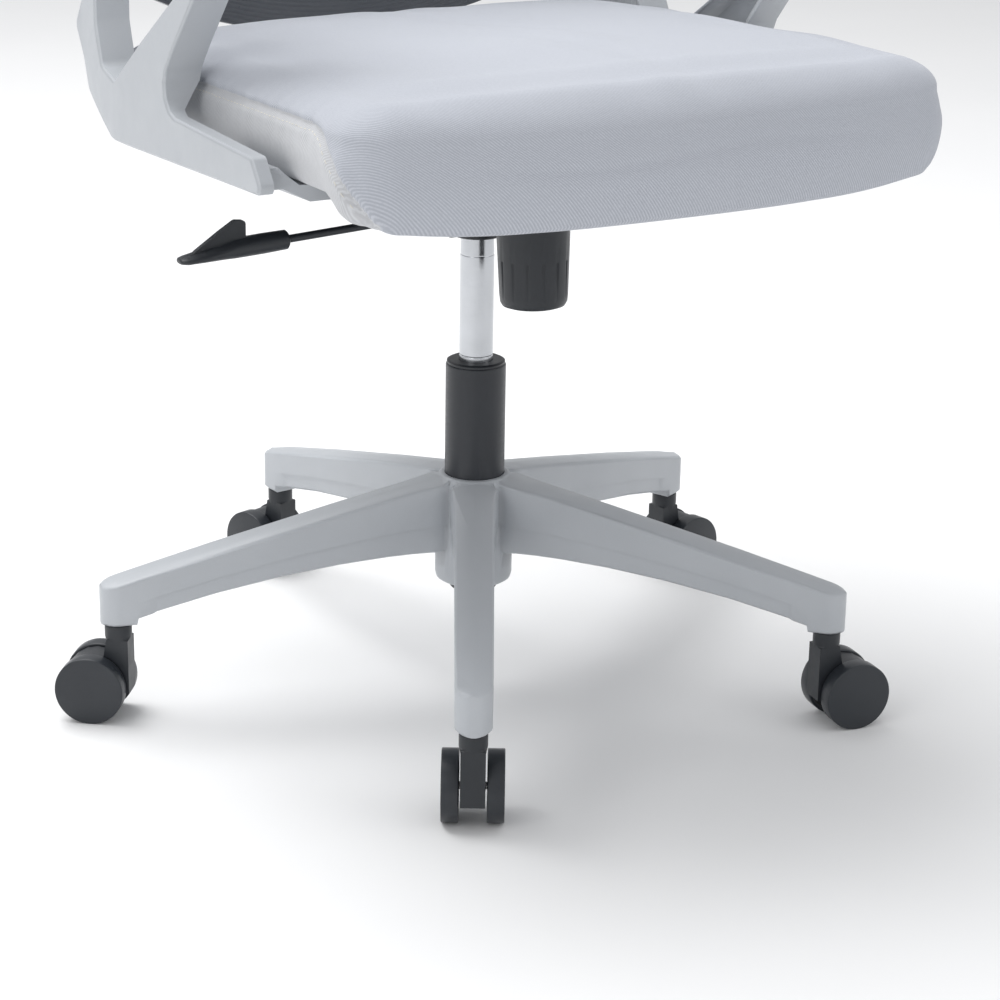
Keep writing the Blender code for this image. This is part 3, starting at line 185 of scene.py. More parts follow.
# %% The metals
def metal(name, colour, rough, rough_spread, peel_scale, peel_depth, metallic=1.0):
    finish, tree, shader = new_finish(name)
    place = object_place(tree)
    cloud = noise(tree, place, 24.0, 5.0, 0.6)
    shade = blend_colours(tree, spread(tree, cloud, 0.0, 1.0), colour,
                          tuple(c * 0.86 for c in colour))
    tree.links.new(shade, shader.inputs["Base Color"])
    shader.inputs["Metallic"].default_value = metallic
    stretched = add_node(tree, "ShaderNodeMapping", {"Vector": place, "Scale": (1.0, 1.0, 9.0)})
    rings = noise(tree, stretched.outputs["Vector"], 140.0, 4.0, 0.6)
    tree.links.new(spread(tree, rings, rough, rough + rough_spread), shader.inputs["Roughness"])
    peel = noise(tree, place, peel_scale, 2.0, 0.5)
    add_bump(tree, shader, peel, 0.25, peel_depth)
    return finish


chrome = metal("hard_chrome", (0.56, 0.575, 0.60), 0.17, 0.10, 260.0, 0.00002)
zinc_steel = metal("zinc_steel", (0.55, 0.55, 0.56), 0.26, 0.16, 900.0, 0.00005)
powder_coat = metal("powder_coat", (0.020, 0.023, 0.029), 0.34, 0.12, 620.0, 0.00012, 0.0)
print("metals ready")

# %% [markdown]
# ## Upholstery cloth
# The seat is covered in a twill: each thread passes over two and under one, a step further
# along in every row, which draws fine diagonal ribs. The ribs must run on over the rounded
# front edge as the cloth does. On top the pattern reads depth, and on the front it reads
# height, so their sum is used: it keeps growing all the way round the edge.

# %% The twill
def twill(name, light, dark, along, pitch, rib_depth):
    """along gives the cloth's two directions as weights of x, y and z."""
    finish, tree, shader = new_finish(name)
    place = object_place(tree)
    ways = [add_node(tree, "ShaderNodeVectorMath", {0: place, 1: weights},
                     operation="DOT_PRODUCT").outputs["Value"] for weights in along]
    cloth = add_node(tree, "ShaderNodeCombineXYZ", {"X": ways[0], "Y": ways[1]}).outputs["Vector"]
    ribs = add_node(tree, "ShaderNodeTexWave", {
        "Vector": cloth, "Scale": DIAGONAL_WAVE / pitch, "Distortion": 0.25, "Detail": 1.0,
        "Detail Scale": 1.5}, wave_type="BANDS", bands_direction="DIAGONAL").outputs["Fac"]
    yarn = add_node(tree, "ShaderNodeTexWave", {
        "Vector": cloth, "Scale": STRAIGHT_WAVE / (pitch * 0.6), "Distortion": 0.6, "Detail": 2.0},
        wave_type="BANDS", bands_direction="X").outputs["Fac"]
    slub = noise(tree, cloth, 420.0, 4.0, 0.7)
    fleck = noise(tree, place, 95.0, 5.0, 0.7)
    drift = noise(tree, place, 11.0, 3.0)
    weave = add_node(tree, "ShaderNodeMath", {0: ribs, 1: slub}, operation="MULTIPLY").outputs[0]
    tone = blend_colours(tree, spread(tree, weave, 0.0, 1.0, 0.08, 0.5), dark, light)
    tone = blend_colours(tree, spread(tree, fleck, 0.0, 0.30, 0.5, 0.8), tone,
                         tuple(c * 0.80 for c in light))
    tone = blend_colours(tree, spread(tree, drift, 0.0, 0.25), tone, tuple(c * 0.90 for c in light))
    tree.links.new(tone, shader.inputs["Base Color"])
    tree.links.new(spread(tree, slub, 0.82, 0.97), shader.inputs["Roughness"])
    shader.inputs["Sheen Weight"].default_value = 0.18
    shader.inputs["Sheen Roughness"].default_value = 0.5
    relief = add_node(tree, "ShaderNodeMath", {0: ribs, 1: 0.65}, operation="MULTIPLY").outputs[0]
    relief = add_node(tree, "ShaderNodeMath", {0: yarn, 1: 0.2, 2: relief},
                      operation="MULTIPLY_ADD").outputs[0]
    relief = add_node(tree, "ShaderNodeMath", {0: slub, 1: 0.5, 2: relief},
                      operation="MULTIPLY_ADD").outputs[0]
    add_bump(tree, shader, relief, 0.55, rib_depth)
    return finish


TWILL_PITCH = 0.0017
DIAGONAL_WAVE, STRAIGHT_WAVE = 0.444, 0.314  # wave scale times the distance between two ribs
top_cloth = twill("seat_twill_top", (0.52, 0.54, 0.59), (0.375, 0.395, 0.44),
                  ((1.0, 0.0, 0.0), (0.0, 1.0, 1.0)), TWILL_PITCH, 0.00035)
# The side panel's twill is painted lighter than the top's. This painted light makes up for the shade that falls on
# the sides.
side_cloth_painted_light = twill("seat_twill_side_painted_light", (0.60, 0.61, 0.63), (0.47, 0.475, 0.49),
                   ((1.0, 1.0, 0.0), (0.0, 0.0, 0.45)), TWILL_PITCH, 0.00035)
print("cloth ready")

# %% [markdown]
# ## Net and soft skin
# The back is a stretched net. Its holes are only a few millimetres wide, far too many to
# model one by one, so the net's own material is clear in the middle of each cell. The arm
# pads have a soft skin with a leather-like grain.

# %% The net and the pad skin
def net_cloth(name, colour, cell):
    finish, tree, shader = new_finish(name)
    place = object_place(tree)
    slope = add_node(tree, "ShaderNodeMapping", {"Vector": place, "Scale": (1.0, 0.0, 1.0)})
    cells = add_node(tree, "ShaderNodeTexVoronoi", {
        "Vector": slope.outputs["Vector"], "Scale": 1.0 / cell, "Randomness": 0.12},
        feature="DISTANCE_TO_EDGE").outputs["Distance"]
    thread = spread(tree, cells, 1.0, 0.0, 0.16, 0.22)
    fibre = noise(tree, place, 1400.0, 3.0, 0.6)
    tone = blend_colours(tree, fibre, tuple(c * 0.7 for c in colour), colour)
    tree.links.new(tone, shader.inputs["Base Color"])
    tree.links.new(thread, shader.inputs["Alpha"])
    tree.links.new(spread(tree, fibre, 0.7, 0.9), shader.inputs["Roughness"])
    shader.inputs["Sheen Weight"].default_value = 0.2
    add_bump(tree, shader, cells, 0.5, 0.0004)
    return finish


def soft_skin(name, colour):
    finish, tree, shader = new_finish(name)
    place = object_place(tree)
    pebble = add_node(tree, "ShaderNodeTexVoronoi", {"Vector": place, "Scale": 620.0},
                      feature="SMOOTH_F1").outputs["Distance"]
    drift = noise(tree, place, 30.0, 4.0)
    tone = blend_colours(tree, spread(tree, drift, 0.0, 1.0), colour, tuple(c * 1.3 for c in colour))
    tree.links.new(tone, shader.inputs["Base Color"])
    tree.links.new(spread(tree, drift, 0.50, 0.66), shader.inputs["Roughness"])
    add_bump(tree, shader, pebble, 0.4, 0.00025)
    return finish


back_net_cloth = net_cloth("back_net_cloth", (0.42, 0.44, 0.47), 0.0034)
pad_skin = soft_skin("pad_skin", (0.075, 0.079, 0.085))
thread_yarn = soft_skin("cream_yarn", (0.60, 0.58, 0.52))
print("net, skin and yarn ready")

# %% [markdown]
# ## Smoothing the carried-over solids
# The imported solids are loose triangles. A copy of each visible one is merged into one skin,
# its gentle folds are shaded smooth, and the larger faces are given the say over the normals
# next to them. That turns a small flat chamfer into what looks like a rounded edge.

# %% Copy, merge and shade a solid
MERGE_DISTANCE = 0.00002
FLAT_ENOUGH = math.radians(0.6)  # neighbours that turn less than this become one face
SHARP_TURN = math.radians(30)


def select_only(piece):
    bpy.ops.object.select_all(action="DESELECT")
    piece.select_set(True)
    bpy.context.view_layer.objects.active = piece


def body_of_node(name):
    for body, members in frame["record"]["behaviour"]["bodies"].items():
        if name in members:
            return body
    raise KeyError(name)


def hand_over(piece, node, finishes):
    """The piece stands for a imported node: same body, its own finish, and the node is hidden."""
    piece.data.materials.clear()
    for finish in finishes:
        piece.data.materials.append(finish)
    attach(piece, body_of_node(node))
    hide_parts(node)
    return piece


def smoothed(node, finish, fold=40.0, edge=0.0):
    mesh = nodes[node].data.copy()
    piece = bpy.data.objects.new(node + "_skin", mesh)
    bpy.context.scene.collection.objects.link(piece)
    select_only(piece)
    bpy.ops.object.mode_set(mode="EDIT")
    bpy.ops.mesh.select_all(action="SELECT")
    bpy.ops.mesh.remove_doubles(threshold=MERGE_DISTANCE)
    bpy.ops.mesh.dissolve_limited(angle_limit=FLAT_ENOUGH)
    bpy.ops.object.mode_set(mode="OBJECT")
    if edge:
        soften = piece.modifiers.new("soften", "BEVEL")
        soften.width = edge
        soften.segments = 2
        soften.limit_method = "ANGLE"
        soften.angle_limit = SHARP_TURN
        soften.use_clamp_overlap = True
        bpy.ops.object.modifier_apply(modifier=soften.name)
    bpy.ops.object.shade_smooth_by_angle(angle=math.radians(fold))
    weigh = piece.modifiers.new("weigh", "WEIGHTED_NORMAL")
    weigh.keep_sharp = True
    bpy.ops.object.modifier_apply(modifier=weigh.name)
    return hand_over(piece, node, [finish])


smoothed("star_base", grey_plastic, 50)
for side in ("left", "right"):
    smoothed("arm_" + side, grey_plastic, 50)
smoothed("back_frame", grey_plastic, 60)
smoothed("lift_outer_tube", powder_coat, 40)
smoothed("lift_guide_bush", black_plastic, 40)
smoothed("pressure_tube", chrome, 30)
smoothed("tilt_housing", powder_coat, 40)
smoothed("taper_socket", powder_coat, 40)
smoothed("seat_plate", powder_coat, 40)
smoothed("seat_pan", pan_plastic, 40)
smoothed("tension_knob", black_plastic, 55)
smoothed("lumbar_band", band_plastic, 25, 0.0006)
smoothed("lever_handle", black_plastic, 50)
smoothed("lever_rod", powder_coat, 50)
smoothed("valve_rocker", powder_coat, 40)
print("smooth skins made")

# %% [markdown]
# ## Small steel parts
# Screws, pins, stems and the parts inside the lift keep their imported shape, which is right
# already. They only need the zinc finish in place of the plain one.

# %% Finishes for the small solids that stay as they are
def paint(node, finish):
    """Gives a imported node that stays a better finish."""
    data = nodes[node].data
    data.materials.clear()
    data.materials.append(finish)


for name in nodes:
    if name.endswith(("_stem", "_axle")) or "_bolt" in name:
        paint(name, zinc_steel)
for name in ("piston_rod", "rod_clip", "thrust_bearing", "tilt_pin", "spring_cup",
             "tension_spring", "valve_button"):
    paint(name, zinc_steel)

# %% [markdown]
# ## Castors
# Each castor is a forked hood on a stem with a wheel on either side. A real wheel is a thin
# moulded disc: its tread is flat with a small bevel, and its face bows out and has a shallow
# ring and a raised cap in the middle. One wheel is modelled lying at the origin, then copied
# and turned onto each axle.

# %% Model one wheel
def faces_where(piece, test):
    """In edit mode: selects the faces whose middle and normal pass a test."""
    body = bmesh.from_edit_mesh(piece.data)
    for face in body.faces:
        face.select_set(test(face.calc_center_median(), face.normal))
    body.select_flush_mode()
    bmesh.update_edit_mesh(piece.data)


WHEEL_RADIUS = 0.0285
WHEEL_WIDTH = 0.0135
WHEEL_INNER = 0.0215 / 2
RIM_BEVEL = 0.0009
# each step draws a face's edge in by the first number and lifts it by the second
OUTER_FACE = ((0.0012, 0.0), (0.0030, 0.0003), (0.0008, -0.0007), (0.0009, 0.0008),
              (0.0070, 0.0008), (0.0040, 0.0003), (0.0006, -0.0006), (0.0010, 0.0012),
              (0.0012, 0.0004))
INNER_FACE = ((0.0030, 0.0), (0.0004, -0.0060), (0.0140, 0.0), (0.0006, 0.0060), (0.0030, 0.0))
bpy.ops.object.select_all(action="DESELECT")
bpy.ops.mesh.primitive_cylinder_add(vertices=64, radius=WHEEL_RADIUS, depth=WHEEL_WIDTH,
                                    end_fill_type="NGON")
wheel_pattern = bpy.context.object
wheel_pattern.name = "wheel_pattern"
bpy.ops.object.mode_set(mode="EDIT")
bpy.ops.mesh.select_all(action="DESELECT")
faces_where(wheel_pattern, lambda middle, normal: normal.z > 0.9)
for thickness, depth in OUTER_FACE:
    bpy.ops.mesh.inset(thickness=thickness, depth=depth)
bpy.ops.mesh.select_all(action="DESELECT")
faces_where(wheel_pattern, lambda middle, normal: normal.z < -0.9)
for thickness, depth in INNER_FACE:
    bpy.ops.mesh.inset(thickness=thickness, depth=depth)
bpy.ops.object.mode_set(mode="OBJECT")
rim = wheel_pattern.modifiers.new("rim", "BEVEL")
rim.width = RIM_BEVEL
rim.segments = 3
rim.limit_method = "ANGLE"
rim.angle_limit = math.radians(50)
bpy.ops.object.modifier_apply(modifier=rim.name)
bpy.ops.object.shade_smooth_by_angle(angle=math.radians(35))
print("wheel faces:", len(wheel_pattern.data.polygons))

# %% Place a copy of the wheel on every axle
joint_of = {joint["child"]: joint for joint in frame["joints"]}
for castor in range(1, 6):
    for side, turn in (("left", -1.0), ("right", 1.0)):
        node = f"castor_{castor}_wheel_{side}"
        joint = joint_of[f"castor_{castor}_{side}"]
        across = Vector(joint["axis"]) * -turn
        low, high = (Vector(corner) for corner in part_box(node))
        seat_place = Matrix.Translation(Vector(joint["pos_m"])
                                        + across * (WHEEL_INNER + WHEEL_WIDTH / 2))
        spin = across.to_track_quat("Z", "Y").to_matrix().to_4x4()
        wheel = bpy.data.objects.new(node + "_moulded", wheel_pattern.data.copy())
        bpy.context.scene.collection.objects.link(wheel)
        wheel.data.transform(seat_place @ spin)
        middle = (low + high) / 2
        assert (seat_place.translation - middle).length < 0.003, (node, seat_place.translation, middle)
        hand_over(wheel, node, [wheel_plastic])
    smoothed(f"castor_{castor}_hood", black_plastic, 45)
bpy.data.objects.remove(wheel_pattern)
print("wheels placed: 10")

# %% [markdown]
# ## The seat's outline
# The upholstered seat is foam on a plastic pan, wrapped in cloth. Seen from above it has
# straight sides that close in towards the back, round corners and a bowed front. The outline
# is walked at an even pace, so that seams and puckers can be placed by the distance walked.

# %% Walk round the seat
HALF_WIDTH, REAR_NARROWING = 0.2542, 0.018
FRONT, REAR = -0.290, 0.200
FRONT_BOW, REAR_BOW = 0.028, 0.012
FRONT_CORNER, REAR_CORNER = 0.034, 0.055
PAN_BOTTOM = 0.012
PAN_INSET = 0.022
SEAM = 0.060
CROWN = 0.030
CORNER_DROP, LIP_DROP = 0.016, 0.013
AROUND = 640


def ease(value):
    value = np.clip(value, 0.0, 1.0)
    return value * value * (3 - 2 * value)


def corner_arc(centre, radius, start, end, steps=14):
    angles = np.radians(np.linspace(start, end, steps))
    return [(centre[0] + radius * math.cos(t), centre[1] + radius * math.sin(t)) for t in angles]


def even_walk(points, count):
    """The same closed outline as count evenly spaced points."""
    points = np.vstack([points, points[:1]])
    steps = np.r_[0.0, np.cumsum(np.linalg.norm(np.diff(points, axis=0), axis=1))]
    at = np.linspace(0.0, steps[-1], count, endpoint=False)
    return np.c_[np.interp(at, steps, points[:, 0]), np.interp(at, steps, points[:, 1])]


def seat_outline():
    rear_half = HALF_WIDTH - REAR_NARROWING
    front_r, rear_r = FRONT_CORNER, REAR_CORNER
    points = []
    points += corner_arc((-HALF_WIDTH + front_r, FRONT + front_r), front_r, 180, 270)
    points += corner_arc((HALF_WIDTH - front_r, FRONT + front_r), front_r, 270, 360)
    points += corner_arc((rear_half - rear_r, REAR - rear_r), rear_r, 0, 90)
    points += corner_arc((-rear_half + rear_r, REAR - rear_r), rear_r, 90, 180)
    outline = even_walk(np.array(points), AROUND)
    middle = (FRONT + REAR) / 2
    across = 1 - np.minimum(1.0, np.abs(outline[:, 0]) / HALF_WIDTH) ** 2.2
    ahead = ease((middle - outline[:, 1]) / (middle - FRONT))
    behind = ease((outline[:, 1] - middle) / (REAR - middle))
    outline[:, 1] += -FRONT_BOW * across * ahead + REAR_BOW * across * behind
    return even_walk(outline, AROUND)


outline = seat_outline()
onward = np.roll(outline, -1, axis=0) - np.roll(outline, 1, axis=0)
onward /= np.linalg.norm(onward, axis=1)[:, None]
inward = np.c_[-onward[:, 1], onward[:, 0]]
perimeter = np.linalg.norm(outline - np.roll(outline, 1, axis=0), axis=1).sum()
print("seat perimeter:", round(float(perimeter), 3), "m")

# %% [markdown]
# ## Seam line
# One cloth panel covers the top and rolls over the front edge. A second one makes the sides
# and the back. The seam between them runs level along each side, then turns down at the
# front corners and ends under the lip. Its height is given for every step of the walk.

# %% Height of the seam along the outline
SEAM_TURN = -0.215  # where, from back to front, the seam starts down
SEAM_RUN = 0.110  # how far it walks before it reaches the lip

step = perimeter / AROUND
first = int(np.argmin(np.abs(outline[:, 1] - SEAM_TURN) + (outline[:, 0] > 0) * 9))
walked = ((np.arange(AROUND) - first) % AROUND) * step
left_start = int(np.argmin(np.abs(outline[:, 1] - SEAM_TURN) + (outline[:, 0] < 0) * 9))
back_walk = ((left_start - np.arange(AROUND)) % AROUND) * step
front_length = ((left_start - first) % AROUND) * step
on_front = walked < front_length
seam_fall = np.where(on_front, np.minimum(walked, back_walk) / SEAM_RUN, 0.0)
seam_height = SEAM - (SEAM + 0.024) * ease(seam_fall) ** 1.35
has_seam = ~(on_front & (np.minimum(walked, back_walk) > SEAM_RUN))
print("seam covers", round(float(has_seam.mean()), 2), "of the walk")

# %% [markdown]
# ## Upholstered seat
# The cover is built as rings, each one the outline drawn in a little and set at a height.
# The rings run from under the pan, out round the bulging side, over the seam and up onto the
# crowned top. The finished rings are then pushed about: in at the seam, in and out where the
# cloth puckers beside it, and softly over the whole top where foam has settled.

# %% Rings of the cover
def lip(y):
    corner_fall = CORNER_DROP * ease((FRONT + 0.065 - y) / 0.045)
    return corner_fall + LIP_DROP * ease((FRONT + 0.018 - y) / 0.032)


def crown(x, y):
    middle = (FRONT - FRONT_BOW + REAR) / 2
    half = (REAR - FRONT + FRONT_BOW) / 2
    across = np.maximum(0.0, 1 - (np.abs(x) / HALF_WIDTH) ** 2.5)
    along = np.maximum(0.0, 1 - (np.abs(y - middle) / half) ** 3)
    return CROWN * across ** 0.6 * along ** 0.6


def cover_profile():
    """(distance in, pull to the middle, base height, share of lip, share of crown) per ring."""
    rings = [(PAN_INSET - 0.0005, 0, PAN_BOTTOM + 0.004, 1.0, 0),
             (PAN_INSET - 0.0010, 0, PAN_BOTTOM, 1.0, 0), (0.017, 0, PAN_BOTTOM - 0.0008, 1.0, 0),
             (0.013, 0, PAN_BOTTOM - 0.0006, 1.0, 0), (0.0095, 0, PAN_BOTTOM + 0.0008, 1.0, 0),
             (0.0065, 0, PAN_BOTTOM + 0.0035, 1.0, 0), (0.0042, 0, PAN_BOTTOM + 0.0075, 0.95, 0)]
    for k in range(1, 25):
        rise = k / 24
        height = PAN_BOTTOM + 0.0075 + (SEAM - 0.002 - PAN_BOTTOM - 0.0075) * rise
        bulge = 0.0042 - 0.0046 * math.sin(math.pi * min(1.0, rise * 1.02)) - 0.0016 * rise
        rings.append((bulge, 0, height, 0.95 * (1 - rise) + 0.35 * rise, 0))
    for distance, height, lipped, crowned in (
            (0.0027, 0.0000, 0.33, 0.00), (0.0028, 0.0015, 0.31, 0.02), (0.0034, 0.0030, 0.29, 0.05),
            (0.0046, 0.0046, 0.26, 0.09), (0.0065, 0.0062, 0.22, 0.14), (0.0090, 0.0077, 0.18, 0.20),
            (0.0120, 0.0090, 0.14, 0.27), (0.0160, 0.0100, 0.10, 0.36), (0.0205, 0.0106, 0.06, 0.46),
            (0.0250, 0.0108, 0.03, 0.56), (0.0300, 0.0106, 0.01, 0.66)):
        rings.append((distance, 0, SEAM + height, lipped, crowned))
    for k in range(1, 40):
        pull = (k / 40) ** 1.15
        rings.append((0.030, pull, SEAM + 0.0106 - 0.0046 * min(1.0, pull * 5), 0,
                      0.66 + 0.34 * float(ease(pull * 6))))
    return rings


profile = cover_profile()
middle_y = (FRONT - FRONT_BOW + REAR) / 2
layers = []
for distance, pull, height, lipped, crowned in profile:
    flat = outline + inward * distance
    flat = np.c_[flat[:, 0] * (1 - pull), middle_y + (flat[:, 1] - middle_y) * (1 - pull)]
    z = height - lipped * lip(flat[:, 1]) + crowned * crown(flat[:, 0], flat[:, 1])
    layers.append(np.c_[flat, z])
cover = np.array(layers)
print("cover grid:", cover.shape[0], "rings of", cover.shape[1])

# %% Press in the seam, pucker the cloth and settle the foam
GROOVE_DEPTH, GROOVE_WIDTH = 0.0019, 0.0021
SWELL_HEIGHT, SWELL_AT, SWELL_WIDTH = 0.0010, 0.0065, 0.004
PUCKER_DEPTH, PUCKER_REACH = 0.00042, 0.016
GATHER_DEPTH, GATHER_REACH, GATHER_SPACING = 0.0013, 0.022, 0.0062
REAR_CORNER_X, REAR_CORNER_Y, CORNER_REACH = 0.225, 0.165, 0.055
CREASE_HEIGHT, CREASE_DEPTH, CREASE_WIDTH = 0.030, 0.0016, 0.0045
DENT_DEPTH, DENT_REACH = 0.0045, 0.13  # where a sitter has pressed the foam down


def waves(s, seed, lengths, weights):
    """A smooth, repeatable wander along the walk that closes on itself."""
    random = np.random.default_rng(seed)
    total = np.zeros_like(s)
    for length, weight in zip(lengths, weights):
        count = max(1, round(perimeter / length))
        total += weight * np.sin(2 * math.pi * count * s / perimeter + random.uniform(0, 6.28))
    return total


s_along = np.arange(AROUND) * step
slope = np.gradient(seam_height, step)
nearness = np.abs(cover[:, :, 2] - seam_height[None, :]) / np.sqrt(1 + slope ** 2)[None, :]
outer = np.array([ring[1] == 0 for ring in profile])[:, None] * has_seam[None, :]
groove = GROOVE_DEPTH * np.exp(-(nearness / GROOVE_WIDTH) ** 2) * outer
swell = SWELL_HEIGHT * np.exp(-((nearness - SWELL_AT) / SWELL_WIDTH) ** 2) * outer
pucker = (waves(s_along, 3, (0.021, 0.034, 0.052), (1.0, 0.8, 0.7))[None, :]
          * PUCKER_DEPTH * np.exp(-(nearness / PUCKER_REACH) ** 2) * outer)
behind = outline[:, 1] - REAR_CORNER_Y
corner = np.exp(-(np.hypot(outline[:, 0] + REAR_CORNER_X, behind) / CORNER_REACH) ** 2)
corner += 0.7 * np.exp(-(np.hypot(outline[:, 0] - REAR_CORNER_X, behind) / CORNER_REACH) ** 2)
ripple = np.sin(s_along / GATHER_SPACING + 1.3 * np.sin(s_along / 0.017))
gather = (ripple[None, :] * corner[None, :]
          * GATHER_DEPTH * np.exp(-(nearness / GATHER_REACH) ** 2) * outer)
front_face = ((outline[:, 1] < FRONT + 0.01) * np.exp(-(outline[:, 0] / 0.16) ** 4))[None, :]
crease_line = CREASE_HEIGHT + 0.004 * np.sin(outline[:, 0] * 21.0)[None, :]
crease = CREASE_DEPTH * np.exp(-((cover[:, :, 2] - crease_line) / CREASE_WIDTH) ** 2) * front_face
crease *= np.array([ring[1] == 0 for ring in profile])[:, None]
push = groove - swell + pucker + gather + crease
cover[:, :, :2] += inward[None, :, :] * push[:, :, None]
top = ease((cover[:, :, 2] - SEAM) / 0.02)
x, y = cover[:, :, 0], cover[:, :, 1]
settle = (0.0011 * np.sin(23 * x + 2.0 * np.sin(17 * y)) * np.sin(19 * y + 1.1)
          + 0.0007 * np.sin(61 * x + 37 * y + 2.0 * np.sin(29 * x)))
dent = DENT_DEPTH * np.exp(-((x / DENT_REACH) ** 2 + ((y - 0.02) / DENT_REACH) ** 2))
cover[:, :, 2] += top * (settle - dent)
print("deepest push in:", round(float(push.max()) * 1000, 1), "mm")

# %% Make the cover's mesh
def grid_mesh(name, grid):
    """A closed skin from rings of points: side faces, a cap below and a fan on top."""
    rings, around, _ = grid.shape
    points = [tuple(p) for p in in_world(grid.reshape(-1, 3))]
    index = np.arange(rings * around).reshape(rings, around)
    right = np.roll(index, -1, axis=1)
    faces = np.stack([index[:-1], right[:-1], right[1:], index[1:]], axis=-1).reshape(-1, 4)
    faces = [tuple(int(i) for i in face) for face in faces]
    for ring, flip in ((0, True), (rings - 1, False)):
        centre = len(points)
        points.append(tuple(np.mean([points[i] for i in index[ring]], axis=0)))
        for a, b in zip(index[ring], right[ring]):
            faces.append((int(b), int(a), centre) if flip else (int(a), int(b), centre))
    mesh = bpy.data.meshes.new(name)
    mesh.from_pydata(points, [], faces)
    mesh.update()
    piece = bpy.data.objects.new(name, mesh)
    bpy.context.scene.collection.objects.link(piece)
    return piece


upholstery = grid_mesh("seat_upholstery", cover)
above_seam = cover[:, :, 2] > seam_height[None, :]
above_seam |= ~has_seam[None, :]
panel = np.where(above_seam[:-1] & above_seam[1:], 0, 1)
kinds = np.zeros(len(upholstery.data.polygons), dtype=np.int32)
kinds[:panel.size] = panel.reshape(-1)
kinds[panel.size:panel.size + AROUND] = 1
hand_over(upholstery, "seat_cushion", [top_cloth, side_cloth_painted_light])
upholstery.data.polygons.foreach_set("material_index", kinds)
upholstery.data.polygons.foreach_set("use_smooth", np.ones(len(kinds), dtype=bool))
print("upholstery faces:", len(kinds))

# %% [markdown]
# ## Top-stitching
# A row of cream stitches runs beside the seam and holds the turned-in cloth flat. Each stitch
# is a short thin thread that dips at both ends where it enters the cloth. All of them are
# one mesh, so that they move and export together.

# %% Lay the stitches along the seam
STITCH_PITCH = 0.0052
STITCH_LENGTH = 0.0037
YARN_RADIUS = 0.00034
STITCH_OFFSET = 0.0042  # from the seam
STITCH_SIDES = 6
STITCH_SINK = 0.0006  # how far its ends dip
STITCH_STEPS = (-1.0, -0.8, -0.35, 0.35, 0.8, 1.0)  # rings along it, from end to end


def on_cover(column, height):
    """The outer skin's place at a step of the walk and a height, with its outward way."""
    rows = np.array([k for k, ring in enumerate(profile) if ring[1] == 0 and k > 4])
    heights = cover[rows, column, 2]
    order = np.argsort(heights)
    point = np.array([np.interp(height, heights[order], cover[rows, column, axis][order])
                      for axis in range(3)])
    return point, np.array([-inward[column, 0], -inward[column, 1], 0.0])


def stitch_rows():
    """Middle and direction of each stitch."""
    found = []
    distance = 0.0
    below = STITCH_OFFSET * np.sqrt(1 + slope ** 2)
    for column in range(AROUND):
        leap = step * math.sqrt(1 + slope[column] ** 2)
        distance += leap
        height = seam_height[column] - below[column]
        if distance < STITCH_PITCH or not has_seam[column] or height < PAN_BOTTOM - 0.008:
            continue
        distance = 0.0
        here, out = on_cover(column, height)
        ahead, _ = on_cover((column + 1) % AROUND, seam_height[(column + 1) % AROUND]
                            - below[(column + 1) % AROUND])
        way = ahead - here
        found.append((here + out * 0.0001, way / np.linalg.norm(way), out))
    return found


def stitch_mesh(rows):
    points, faces = [], []
    sides, rings = STITCH_SIDES, len(STITCH_STEPS)
    for here, way, out in rows:
        lift = np.cross(way, out)
        start = len(points)
        for t in STITCH_STEPS:
            sink = -STITCH_SINK * t ** 4
            radius = YARN_RADIUS * (0.45 if abs(t) == 1.0 else 1.0)
            centre = here + way * t * STITCH_LENGTH / 2 + out * sink
            for k in range(sides):
                turn = 2 * math.pi * k / sides
                points.append(centre + radius * (math.cos(turn) * out + math.sin(turn) * lift))
        for ring in range(rings - 1):
            for k in range(sides):
                a, b = start + ring * sides + k, start + ring * sides + (k + 1) % sides
                faces.append((a, b, b + sides, a + sides))
        faces.append(tuple(start + k for k in reversed(range(sides))))
        faces.append(tuple(start + (rings - 1) * sides + k for k in range(sides)))
    mesh = bpy.data.meshes.new("seat_stitching")
    mesh.from_pydata([tuple(p) for p in in_world(points)], [], faces)
    piece = bpy.data.objects.new("seat_stitching", mesh)
    bpy.context.scene.collection.objects.link(piece)
    return piece


rows = stitch_rows()
stitching = stitch_mesh(rows)
select_only(stitching)
bpy.ops.object.mode_set(mode="EDIT")
bpy.ops.mesh.select_all(action="SELECT")
bpy.ops.mesh.normals_make_consistent(inside=False)
bpy.ops.object.mode_set(mode="OBJECT")
bpy.ops.object.shade_smooth()
stitching.data.materials.append(thread_yarn)
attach(stitching, "seat")
print("stitches:", len(rows))

# %% [markdown]
# ## Arm pads
# A pad is a soft skin moulded over foam, screwed to the arm's top rail. A copy of the packed
# pad is merged, its top is raised by three small insets, and its edges are bevelled round.

# %% Shape the two arm pads
PAD_CROWN = ((0.0025, 0.0004), (0.0035, 0.0004), (0.0050, 0.0003))
PAD_BEVEL = 0.0011


